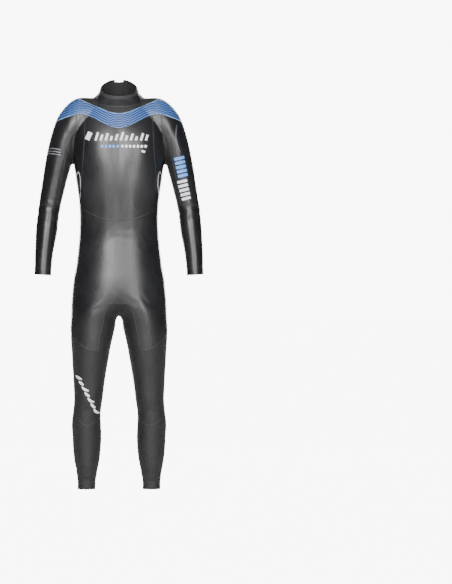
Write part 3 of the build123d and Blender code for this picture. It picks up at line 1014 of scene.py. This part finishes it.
# ------------------------------------------------------------------ seams
NO_SEAM = {frozenset(pair) for pair in (
    ("crotch_gusset",), ("seat_panel",), ("chest_band", "shoulder_band"), ("thigh_front", "knee_panel"),
    ("back_panel",), ("front_body_panel", "thigh_back"), ("elbow_panel", "forearm_front"),
    ("elbow_panel", "forearm_back"), ("elbow_panel",),
)}


@dataclass
class Seams:
    """Stitched seams as low ribbons that follow the panel edges."""

    body: CutBody
    materials: Materials
    seam: tuple = ((-1.7, -0.25), (-1.2, 0.5), (0.0, 0.65), (1.2, 0.5), (1.7, -0.25))

    def build(self) -> None:
        """Chain the panel edges and sweep a ribbon along each."""
        edges, rim = defaultdict(list), []
        for a, b, faces in self.body.edges:
            names = {self.body.names[f] for f in faces}
            if names == {"collar_binding", WASTE} and not self.in_slot(a, b):
                rim.append((a, b))
            if len(names) < 2 or WASTE in names or frozenset(map(base_name, names)) in NO_SEAM:
                continue
            middle = (self.body.points[a] + self.body.points[b]) / 2
            edges[zone_of(middle)].append((a, b))
        for zone, pairs in sorted(edges.items()):
            self.ribbons(f"seams_{zone}", zone, self.chains(pairs), self.seam, "seam")
        turn = np.linspace(0, 2 * math.pi, 13)
        roll = tuple((2.3 * math.cos(t), 2.3 * math.sin(t) - SKIN / 2) for t in turn)
        self.ribbons("collar_roll", "suit", self.chains(rim), roll, Finish.BINDING)

    def in_slot(self, a: int, b: int) -> bool:
        """True if an edge runs down the side of the zip's slot."""
        p = self.body.points[[a, b]]
        return bool((abs(p[:, 0]) < SLOT_HALF + 1).all() and (p[:, 1] > 0).all())

    def chains(self, pairs: list) -> list:
        """Join edges end to end, and stop where seams meet.

        Args:
            pairs: Edges, each two point numbers.
        Returns:
            Chains of point numbers.
        """
        near = defaultdict(list)
        for a, b in pairs:
            near[a].append(b)
            near[b].append(a)
        seen, lines = set(), []

        def walk(a: int, b: int) -> list:
            """Chain that starts with one edge and runs to the next junction."""
            line = [a, b]
            seen.add(frozenset((a, b)))
            while len(near[line[-1]]) == 2:
                step = [n for n in near[line[-1]] if frozenset((line[-1], n)) not in seen]
                if not step:
                    break
                seen.add(frozenset((line[-1], step[0])))
                line.append(step[0])
            return line

        starts = [v for v in near if len(near[v]) != 2] + list(near)
        for a in starts:
            for b in near[a]:
                if frozenset((a, b)) not in seen:
                    lines.append(walk(a, b))
        return [line for line in lines if len(line) > 2]

    def ribbons(self, name: str, zone: str, lines: list, profile: tuple, finish: Finish | str) -> None:
        """One object swept along every line.

        Args:
            name: Object name.
            zone: Zone it lies on; it is attached only in the zone "suit".
            lines: Chains of point numbers.
            profile: Cross-section, across the seam and out of the skin.
            finish: Its material.
        """
        points, faces, uvs = [], [], []
        for line in lines:
            p, n = self.body.points[line].copy(), self.body.normals[line]
            for _ in range(6):
                p[1:-1] = p[1:-1] * 0.5 + (p[:-2] + p[2:]) / 4
                if line[0] == line[-1]:
                    p[0] = p[-1] = (p[1] + p[-2]) / 4 + p[0] / 2
            run = run_along(p)
            sideways = np.cross(np.gradient(p, axis=0), n)
            sideways /= np.maximum(np.linalg.norm(sideways, axis=1, keepdims=True), 1e-9)
            faces += grid(len(p), len(profile), len(points))
            for k in range(len(p)):
                for s, (u, v) in enumerate(profile):
                    points.append(p[k] + sideways[k] * u + n[k] * v)
                    uvs.append((run[k] * MM, s / (len(profile) - 1)))
        obj = mesh_object(name, points, faces)
        set_uv(obj, uvs)
        self.materials.give(obj, finish)
        shade(obj, 75)
        follow_zone(obj, zone)
        log.info("%s: %d lines", obj.name, len(lines))


# ------------------------------------------------------------------ prints
@dataclass(frozen=True)
class Stroke:
    """One printed stroke laid on the suit: points are (x, height, half width)."""

    points: tuple
    face: Face
    ink: Finish = Finish.PRINT_WHITE
    lift: float = 0.35


def straight(start: tuple, end: tuple, half: float, face: Face, ink: Finish = Finish.PRINT_WHITE,
             lift: float = 0.35) -> Stroke:
    """Straight stroke between two points (x, height)."""
    middle = ((start[0] + end[0]) / 2, (start[1] + end[1]) / 2)
    return Stroke(tuple((*place, half) for place in (start, middle, end)), face, ink, lift)


def bar(x: float, low: float, high: float, half: float, lean: float, ink: Finish = Finish.PRINT_WHITE) -> Stroke:
    """Straight bar on the front, from low to high, that leans by a run of x per millimetre."""
    return straight((x, low), (x + lean * (high - low), high), half, Face.FRONT, ink)


def loop(x: float, h: float, rx: float, rh: float, half: float) -> Stroke:
    """Thin closed ring on the front."""
    turns = np.linspace(0, 2 * math.pi, 13)
    return Stroke(tuple((x + rx * math.cos(t), h + rh * math.sin(t), half) for t in turns), Face.FRONT)


@dataclass
class Prints:
    """Plain graphics in place of lettering, laid on the suit as thin ink; one grey stroke on the sleeve is a
    painted highlight.
    """

    body: CutBody
    materials: Materials

    def strokes(self) -> dict:
        """Every stroke, by the name of its piece."""
        front, back = Face.FRONT, Face.BACK
        tall = (30, 22, 27, 17, 24, 31, 19, 26, 16, 28, 22)
        chest = [straight((-112, 1234), (-100, 1260), 8.5, front)]
        chest += [bar(-82 + 17.6 * k, 1231, 1229 + t, 3.9, 0.32) for k, t in enumerate(tall)]
        chest += [bar(-60 + 13.5 * k, 1206, 1215, 4.2, 0.3, Finish.PRINT_BLUE) for k in range(5)]
        chest += [bar(11 + 13.5 * k, 1206, 1215, 4.2, 0.3) for k in range(7)]
        chest += [bar(84, 1189, 1196, 6.5, 0.3)]
        marks = [Stroke(((-252, h, 1.0), (-228, h - 2, 1.0), (-205, h - 6, 1.0)), front, Finish.PRINT_PALE)
                 for h in (1206, 1196, 1187)]
        # The first sleeve stroke, in grey ink down the upper sleeve by the shoulder, is a painted highlight line,
        # not print.
        sleeve = [Stroke(((204, 1290, 1.0), (200, 1240, 3.0), (216, 1190, 1.0)), front, Finish.PRINT_GREY)]
        sleeve += [Stroke(((194 + 3.4 * k, 1166 - 15 * k, 5), (212 + 3.2 * k, 1170 - 15 * k, 5),
                           (230 + 3 * k, 1174 - 15 * k, 5)), front, Finish.PRINT_BLUE) for k in range(5)]
        sleeve += [Stroke(((206 + 4 * k, 1085 - 15 * k, 4.6), (223 + 3.6 * k, 1089 - 15 * k, 4.6),
                           (240 + 3.2 * k, 1093 - 15 * k, 4.6)), front) for k in range(5)]
        loops = [loop(-143, 1069, 8, 53, 0.9), loop(144, 1082, 7, 40, 0.9)]
        waist = [Stroke(((s * 134, 936, 1), (s * 131, 890, 3.2), (s * 133, 847, 1)), back) for s in (1, -1)]
        column = [straight((46, 884 + 26.5 * k), (70 + t, 890 + 26.5 * k), 6.6, back)
                  for k, t in enumerate((12, 4, 14, 0, 10, 14, 5, 0, 11, 6, 12, 2, 9, 14, 4, 10))]
        column += [Stroke(((38, 816, 12), (74, 820, 12), (108, 824, 12)), back),
                   Stroke(((46, 849, 9), (74, 852, 9), (100, 855, 9)), back)]
        wing = [Stroke(((-34, 1296 - 24 * k, 6), (-47, 1298 - 24 * k, 6), (-60 - t, 1300 - 24 * k, 6)), back)
                for k, t in enumerate((2, 8, 0, 6, 10, 3, 7))]
        wing += [Stroke(((-38, 1104 - 24 * k, 6.5), (-55, 1106 - 24 * k, 6.5), (-70 - t, 1108 - 24 * k, 6.5)), back,
                        Finish.PRINT_BLUE) for k, t in enumerate((8, 2, 11, 5, 9))]
        wing += [Stroke(((-26 - 8 * k, 936 - 4 * k, 0.8), (-44 - 3 * k, 850 + 9 * k, 0.8),
                         (-66 + 3 * k, 872 + 7 * k, 0.8), (-86 + 7 * k, 930 - 3 * k, 0.8)), back,
                        Finish.PRINT_GREY) for k in range(4)]
        thigh = [Stroke(((-76 - 11.5 * k, 648 - 20.5 * k, 3.5), (-89 - 10 * k - t / 2, 640 - 20 * k, 4.5),
                         (-98 - 9 * k - t, 634 - 20 * k, 3)), back)
                 for k, t in enumerate((12, 5, 14, 8, 4, 10, 6))]
        knee = [Stroke(((-152 + 10.5 * k, 404 - 19.5 * k, 2.2), (-142 + 10 * k, 396 - 20 * k, 4.6),
                        (-131 + 10 * k - t, 391 - 20 * k, 2.2)), front)
                for k, t in enumerate((0, 4, -4, 2, -3, 3, -2))]
        return {"chest_bars": chest, "arm_marks": marks, "sleeve_shapes": sleeve, "side_loops": loops,
                "waist_strips": waist, "back_column": column, "back_wing": wing, "thigh_bars": thigh,
                "knee_bars": knee}

    def build(self) -> None:
        """Lay every group of strokes down, split by the zone it lies on."""
        for name, strokes in self.strokes().items():
            zones = defaultdict(list)
            for stroke in strokes:
                middle = stroke.points[len(stroke.points) // 2]
                zones[(zone_of((middle[0], 0, middle[1])), stroke.ink)].append(stroke)
            for (zone, ink), members in zones.items():
                self.lay(f"print_{name}_{ink.name.lower()}_{zone}", members, zone, ink)

    def lay(self, name: str, strokes: list, zone: str, ink: Finish) -> None:
        """One object with strokes of one ink.

        Args:
            name: Object name.
            strokes: What to draw.
            zone: Zone it lies on; it is attached only in the zone "suit".
            ink: Its finish.
        """
        points, faces = [], []
        for stroke in strokes:
            self.one(stroke, points, faces)
        if not faces:
            log.warning("%s has no faces", name)
            return
        obj = mesh_object(name, points, faces)
        shade(obj)
        self.materials.give(obj, ink)
        follow_zone(obj, zone)
        log.info("%s: %d strokes", name, len(strokes))

    def one(self, stroke: Stroke, points: list, faces: list, columns: int = 7) -> None:
        """Add one stroke's points and faces.

        Args:
            stroke: What to draw.
            points: List that takes its points.
            faces: List that takes its faces.
            columns: Points across the stroke.
        """
        table = np.array(stroke.points, float)
        run = run_along(table[:, :2])
        samples = max(6, int(run[-1] / 2.2))
        rows = smooth_line(run, table, np.linspace(0, run[-1], samples))
        tangent = np.gradient(rows[:, :2], axis=0)
        tangent /= np.linalg.norm(tangent, axis=1, keepdims=True)
        start, good = len(points), []
        for (x, h, half), (tx, th) in zip(rows, tangent):
            for c in np.linspace(-1, 1, columns):
                hit, normal = self.body.onto(x - th * c * half, h + tx * c * half, stroke.face)
                fine = hit is not None and abs(normal.y) > 0.12
                good.append(fine)
                points.append(tuple(hit + normal * stroke.lift) if hit is not None else (x, 0.0, h))
        for quad in grid(samples, columns, flip=stroke.face is Face.FRONT):
            if all(good[q] for q in quad):
                faces.append(tuple(start + q for q in quad))


# ------------------------------------------------------------------ back zip
def zip_place(x: float, height: float, out: float) -> tuple:
    """Suit point at a place along the zip and a distance out of the back."""
    size = math.hypot(1, ZIP_LEAN)
    return x, zip_y(height) + out / size, height + out * ZIP_LEAN / size


@dataclass
class Profile:
    """Closed outline in (x, out), swept straight along the zip."""

    outline: tuple
    low: float
    high: float
    step: float = 12.0

    def mesh(self, name: str) -> bpy.types.Object:
        """Sweep the outline and cap both ends."""
        count = len(self.outline)
        levels = np.linspace(self.low, self.high, max(2, int((self.high - self.low) / self.step)))
        points = [zip_place(x, h, out) for h in levels for x, out in self.outline]
        ends = [tuple(range(count)), tuple(reversed(range((len(levels) - 1) * count, len(levels) * count)))]
        return settle(mesh_object(name, points, ends + grid(len(levels), count, closed=True)), 35)


def move_into_mesh() -> None:
    """Apply the active object's place, turn and size to its mesh."""
    bpy.ops.object.transform_apply(location=True, rotation=True, scale=True)


def block(size: tuple, at: tuple, bevel: float = 0.0) -> bpy.types.Object:
    """Box in the zip's own axes, with rounded edges.

    Args:
        size: Across, up and out, in millimetres.
        at: Its middle.
        bevel: Width of the rounding.
    Returns:
        The object, with its place in its mesh.
    """
    bpy.ops.mesh.primitive_cube_add(size=1.0)
    obj = bpy.context.active_object
    obj.scale = [v * MM for v in size]
    obj.location = [v * MM for v in at]
    move_into_mesh()
    if bevel:
        modifier = obj.modifiers.new("edge", "BEVEL")
        modifier.width, modifier.segments = bevel * MM, 3
        apply_all(obj)
    return obj


def rod(radius: float, length: float, at: tuple, turn: tuple) -> bpy.types.Object:
    """Round rod in the zip's own axes.

    Args:
        radius: In millimetres.
        length: In millimetres.
        at: Its middle.
        turn: Rotation from the out axis.
    Returns:
        The object, with its place in its mesh.
    """
    bpy.ops.mesh.primitive_cylinder_add(vertices=28, radius=radius * MM, depth=length * MM,
                                        location=[v * MM for v in at], rotation=turn)
    move_into_mesh()
    return bpy.context.active_object


def join(name: str, pieces: list) -> bpy.types.Object:
    """Join pieces into one object."""
    select_only(pieces[0])
    for piece in pieces[1:]:
        piece.select_set(True)
    if len(pieces) > 1:
        bpy.ops.object.join()
    obj = bpy.context.active_object
    obj.name = name
    return obj


def to_zip(obj: bpy.types.Object, height: float) -> bpy.types.Object:
    """Move a piece from the zip's own axes (across, up, out) to its place on the back."""
    size = math.hypot(1, ZIP_LEAN)
    for vertex in obj.data.vertices:
        across, up, out = vertex.co
        vertex.co = (-across, (zip_y(height) * MM) + (out - up * ZIP_LEAN) / size,
                     (height - NECK_HEIGHT) * MM + (up + out * ZIP_LEAN) / size)
    return settle(obj, 35)


@dataclass
class BackZip:
    """The long moulded zip, its flap, stitched end and slider."""

    body: CutBody
    materials: Materials
    top: float = 1445.0
    pitch: float = 3.0

    def build(self) -> None:
        """Make every piece of the zip."""
        for side in Side:
            self.tape(side)
            self.teeth(side)
            self.welt(side)
        self.stops()
        self.backing()
        self.end_patch()
        self.slider()
        self.puller()

    def tape(self, side: Side) -> None:
        """Woven tape with the corded edge that carries the teeth."""
        s = side.value
        outline = ((3.9, -2.15), (3.9, -0.7), (5.4, -0.45), (6.4, -0.85), (14.9, -0.8), (14.9, -2.15))
        obj = Profile(tuple((s * x, out) for x, out in outline), SLOT_BOTTOM, self.top).mesh(f"tape_{side.word}")
        self.materials.give(obj, Finish.ZIP_TAPE)
        report(obj, "suit", (f"zip_tape_{side.word}",))

    def welt(self, side: Side) -> None:
        """Folded satin edge of the back panel beside the tape."""
        s = side.value
        in_slot, on_skin = ((15.2, -1.4), (14.7, -0.1)), ((15.6, 0.75), (18.2, 0.95), (21.4, 0.75), (22.3, 0.15))
        points = []
        for h in np.linspace(SLOT_BOTTOM - 4, SLOT_TOP, 150):
            points += [zip_place(s * x, h, out) for x, out in in_slot]
            points += [self.body.over(s * x, h, out) for x, out in on_skin]
        obj = mesh_object(f"zip_welt_{side.word}", points, grid(150, 6, flip=s > 0))
        shade(obj)
        self.materials.give(obj, Finish.ZIP_FLAP)
        report(obj, "suit")

    def teeth(self, side: Side) -> None:
        """Moulded teeth of one side, each a tapered block with a nose."""
        s = side.value
        shape = ((3.7, 1.05), (1.6, 1.05), (0.15, 0.62), (-0.45, 0.35))
        points, faces = [], []
        h = SLOT_BOTTOM + 9.5 + (self.pitch / 2 if s > 0 else 0)
        while h < self.top - 9:
            start = len(points)
            for x, half in shape:
                for dh, out in ((-half, -2.8), (half, -2.8), (half * 0.85, 0.0), (-half * 0.85, 0.0)):
                    points.append(zip_place(s * x, h + dh, out))
            faces += [(start, start + 1, start + 2, start + 3),
                      (start + 15, start + 14, start + 13, start + 12)]
            faces += grid(4, 4, start, closed=True, flip=True)
            h += self.pitch
        obj = settle(mesh_object(f"teeth_{side.word}", points, faces), 30)
        self.materials.give(obj, Finish.ZIP_TEETH)
        report(obj, "suit", (f"zip_chain_{side.word}",))

    def stops(self) -> None:
        """Moulded end blocks of the chain."""
        ends = (("zip_bottom_stop", SLOT_BOTTOM + 4.5, 6.6), ("zip_top_stop", self.top - 5, 5.6))
        for name, height, size in ends:
            obj = to_zip(join(name.replace("zip_", "chain_"), [block((7.4, size, 2.9), (0, 0, -1.5), 0.7)]), height)
            self.materials.give(obj, Finish.ZIP_TEETH)
            report(obj, "suit", (name,))

    def backing(self) -> None:
        """Soft flap between the zip and the wearer."""
        outline = ((-23.8, -9.6), (-22.6, -8.15), (22.6, -8.15), (23.8, -9.6), (22.4, -9.95), (-22.4, -9.95))
        narrow = tuple((x * 0.7, out) for x, out in outline)
        obj = join("backing_flap", [Profile(outline, 812.5, 1395.5).mesh("flap"),
                                    Profile(narrow, 1395.5, 1444.0).mesh("flap_top")])
        self.materials.give(obj, Finish.LINING)
        report(obj, "suit", ("zip_backing_flap",))

    def end_patch(self) -> None:
        """Stitched patch over the foot of the zip, laid on the seat."""
        points = []
        for v in np.linspace(-1, 1, 37):
            reach = 19.6 * (1 - 0.06 * max(0, (abs(v) - 0.85) / 0.15) ** 2)
            points += [self.body.over(u * reach, 806 + v * 31.5, 1.75) for u in np.linspace(-1, 1, 25)]
        obj = mesh_object("end_patch", points, grid(37, 25, flip=True))
        thicken(obj, 1.3)
        shade(obj, 40)
        self.materials.give(obj, Finish.ZIP_TAPE)
        report(obj, "suit", ("zip_end_patch",))
        box = [straight(start, end, 0.6, Face.BACK, Finish.THREAD, 1.95)
               for start, end in (((-16, 778), (16, 778)), ((-16, 834), (16, 834)), ((-16, 778), (-16, 834)),
                                  ((16, 778), (16, 834)), ((-16, 790), (16, 790)))]
        Prints(self.body, self.materials).lay("patch_stitches", box, "suit", Finish.THREAD)

    def slider(self) -> None:
        """Cast slider: two plates, a crown, a throat post, the pin's lugs and the pin."""
        top = block((12.8, 17.8, 1.5), (0, 0, 1.1), 0.7)
        crown = block((7.0, 11.0, 1.0), (0, -1, 2.1), 0.45)
        foot = block((10.2, 17.6, 1.4), (0, 0, -4.05), 0.5)
        post = block((0.55, 3.0, 4.4), (0, 7, -1.5))
        lugs = [block((1.4, 4.8, 3.6), (s * 3.6, -2, 3.8), 0.5) for s in (-1, 1)]
        pin = rod(0.85, 7.2, (0, -2, 4.5), (0, math.pi / 2, 0))
        obj = to_zip(join("slider_casting", [top, crown, foot, post, *lugs, pin]), SLIDER_HEIGHT)
        self.materials.give(obj, Finish.SLIDER_METAL)
        report(obj, "slider", ("zip_slider",))

    def puller(self) -> None:
        """Pale pull tab: eye on the pin, stem and a wider grip with a hole."""
        eye = rod(2.1, 4.4, (0, 0, 0), (0, math.pi / 2, 0))
        bore = rod(1.12, 9, (0, 0, 0), (0, math.pi / 2, 0))
        grip = block((8.8, 23.6, 2.1), (0, -26, 0), 0.95)
        hole = rod(2.2, 9, (0, -32.5, 0), (0, 0, 0))
        ribs = [block((6.0, 0.9, 2.7), (0, -17.5 - 2.6 * k, 0), 0.3) for k in range(4)]
        for target, tool in ((eye, bore), (grip, hole)):
            cut = target.modifiers.new("bore", "BOOLEAN")
            cut.operation, cut.object, cut.solver = "DIFFERENCE", tool, "EXACT"
            apply_all(target)
            bpy.data.objects.remove(tool)
        stem = block((3.2, 12.4, 1.5), (0, -8.6, 0), 0.5)
        obj = join("pull_tab", [eye, stem, grip, *ribs])
        for vertex in obj.data.vertices:
            vertex.co.y -= 2 * MM
            vertex.co.z += 4.5 * MM
        self.materials.give(to_zip(obj, SLIDER_HEIGHT), Finish.PULLER_PLASTIC)
        report(obj, "puller", ("zip_puller",))


# ------------------------------------------------------------------ neck closure
@dataclass
class NeckClosure:
    """Hook tab over the zip's top end, and the loop pad that it presses on."""

    body: CutBody
    materials: Materials

    def patch(self, name: str, x: tuple, heights: tuple, low: float, high: float, round_low: float,
              round_high: float) -> bpy.types.Object:
        """Curved strip round the neck, with rounded ends.

        Args:
            name: Object name.
            x: Ends of the strip.
            heights: Lower and upper edge.
            low: Inner face over the skin.
            high: Outer face over the skin.
            round_low: Corner radius at the first end.
            round_high: Corner radius at the second end.
        """
        columns, rows = 49, 13
        middle, half = (heights[0] + heights[1]) / 2, (heights[1] - heights[0]) / 2
        points = []
        for px in np.linspace(x[0], x[1], columns):
            trim = 0.0
            for end, radius in ((x[0], round_low), (x[1], round_high)):
                away = abs(px - end)
                if away < radius:
                    trim = max(trim, radius - math.sqrt(radius**2 - (radius - away) ** 2))
            points += [self.body.over(px, middle + v * (half - trim), high) for v in np.linspace(-1, 1, rows)]
        obj = mesh_object(name, points, grid(columns, rows))
        thicken(obj, high - low)
        edge = obj.modifiers.new("edge", "BEVEL")
        edge.width, edge.segments, edge.angle_limit = 0.45 * MM, 2, math.radians(50)
        apply_all(obj)
        return settle(obj, 40)

    def build(self) -> None:
        """Make the pad, the tab and the tab's stitching."""
        pad = self.patch("loop_pad", (17.2, 61.5), (1402.2, 1425.8), 0.05, 0.75, 3, 3)
        self.materials.give(pad, Finish.CLOSURE_TAPE)
        report(pad, "suit", ("neck_loop_pad",))
        tab = self.patch("closure_tab", (-13.9, 56.8), (1400.2, 1427.8), 1.15, 3.35, 9, 3.5)
        self.materials.give(tab, Finish.BINDING)
        report(tab, "tab", ("neck_tab",))
        self.stitch()

    def stitch(self) -> None:
        """Lay the stitch rows on the tab, so that they peel with it."""
        low, high, prints = 1404.5, 1423.5, Prints(self.body, self.materials)
        rows = [((52, low), (20, low), (-9, low)), ((52, high), (20, high), (-9, high)),
                ((-9, low), (-11.4, 1414), (-9, high)), ((52, low), (52, 1414), (52, high))]
        points, faces = [], []
        for row in rows:
            thread = Stroke(tuple((*place, 0.55) for place in row), Face.BACK, Finish.THREAD, 3.55)
            prints.one(thread, points, faces, 4)
        obj = mesh_object("tab_stitches", points, faces)
        self.materials.give(obj, Finish.THREAD)
        report(obj, "tab")


# ------------------------------------------------------------------ studio
@dataclass
class Studio:
    """Pale sweep, soft lights and the camera."""

    floor: float = -1.500

    def build(self) -> None:
        """Place everything round the suit."""
        self.sweep()
        self.camera()
        for name, place, aim, size, power in (
                ("key", (-0.7, -3.6, 0.6), (0, 0, -0.6), (1.3, 2.6), 200),
                ("fill", (1.1, -3.6, 0.1), (0, 0, -0.7), (0.8, 2.6), 105),
                ("back_left", (1.0, 3.4, 0.4), (0, 0, -0.6), (1.0, 2.6), 130),
                ("back_right", (-1.0, 3.4, 0.2), (0, 0, -0.7), (0.9, 2.6), 110),
                ("top", (0, -0.4, 2.4), (0, 0, -0.3), (2.4, 1.4), 26)):
            self.area(name, place, aim, size, power)
        world = bpy.data.worlds.new("studio")
        bpy.context.scene.world = world
        world.use_nodes = True
        world.node_tree.nodes.clear()
        m = NodeMaker(world.node_tree)
        seen = m.add("ShaderNodeLightPath").outputs["Is Camera Ray"]
        glow = m.math("ADD", 0.10, m.math("MULTIPLY", seen, 8.8))
        back = m.add("ShaderNodeBackground", {"Color": (1.0, 1.0, 1.0, 1), "Strength": glow})
        m.add("ShaderNodeOutputWorld", {"Surface": back.outputs[0]})

    def sweep(self) -> None:
        """Wide white floor that melts into the white surroundings."""
        bpy.ops.mesh.primitive_plane_add(size=60, location=(0, 0, self.floor))
        obj = bpy.context.active_object
        obj.name = "floor"
        material, m = bare_material("floor_paint")
        matt = m.add("ShaderNodeBsdfPrincipled", {"Base Color": (0.8, 0.8, 0.8, 1), "Roughness": 0.9})
        white = m.add("ShaderNodeEmission", {"Color": (1.0, 1.0, 1.0, 1), "Strength": 9.0})
        share = m.math("MULTIPLY", m.add("ShaderNodeLightPath").outputs["Is Camera Ray"], 0.97)
        mixed = m.add("ShaderNodeMixShader", {0: share, 1: matt.outputs[0], 2: white.outputs[0]})
        m.add("ShaderNodeOutputMaterial", {"Surface": mixed.outputs[0]})
        obj.data.materials.append(material)

    def camera(self) -> None:
        """Camera level with the waist; the suit stands left of the middle."""
        data = bpy.data.cameras.new("camera")
        data.lens, data.sensor_width, data.sensor_fit = 208.8, 36.0, "AUTO"
        obj = bpy.data.objects.new("camera", data)
        bpy.context.scene.collection.objects.link(obj)
        obj.location = (0.0, -12.0, -0.55)
        obj.rotation_euler = (Vector((0.379, 0.0, -0.722)) - obj.location).to_track_quat("-Z", "Y").to_euler()
        bpy.context.scene.camera = obj

    def area(self, name: str, place: tuple, aim: tuple, size: tuple, power: float) -> None:
        """One soft rectangular light.

        Args:
            name: Object name.
            place: Where it stands.
            aim: What it points at.
            size: Width and height in metres.
            power: In watts.
        """
        data = bpy.data.lights.new(name, "AREA")
        data.shape, data.size, data.size_y, data.energy = "RECTANGLE", size[0], size[1], power
        obj = bpy.data.objects.new(name, data)
        bpy.context.scene.collection.objects.link(obj)
        obj.location = place
        obj.rotation_euler = (Vector(aim) - obj.location).to_track_quat("-Z", "Y").to_euler()
        obj.visible_camera = False


def main() -> None:
    """Build the suit and the studio."""
    logging.basicConfig(level=logging.INFO, format="%(name)s: %(message)s")
    materials = Materials.build()
    points, faces = BodyForm().build()
    body = CutBody(points, faces)
    body.cut()
    log.info("body skin cut into %d faces", len(body.faces))
    Panels(body, materials).build()
    Seams(body, materials).build()
    Prints(body, materials).build()
    BackZip(body, materials).build()
    NeckClosure(body, materials).build()
    Studio().build()


if __name__ == "__main__":
    main()
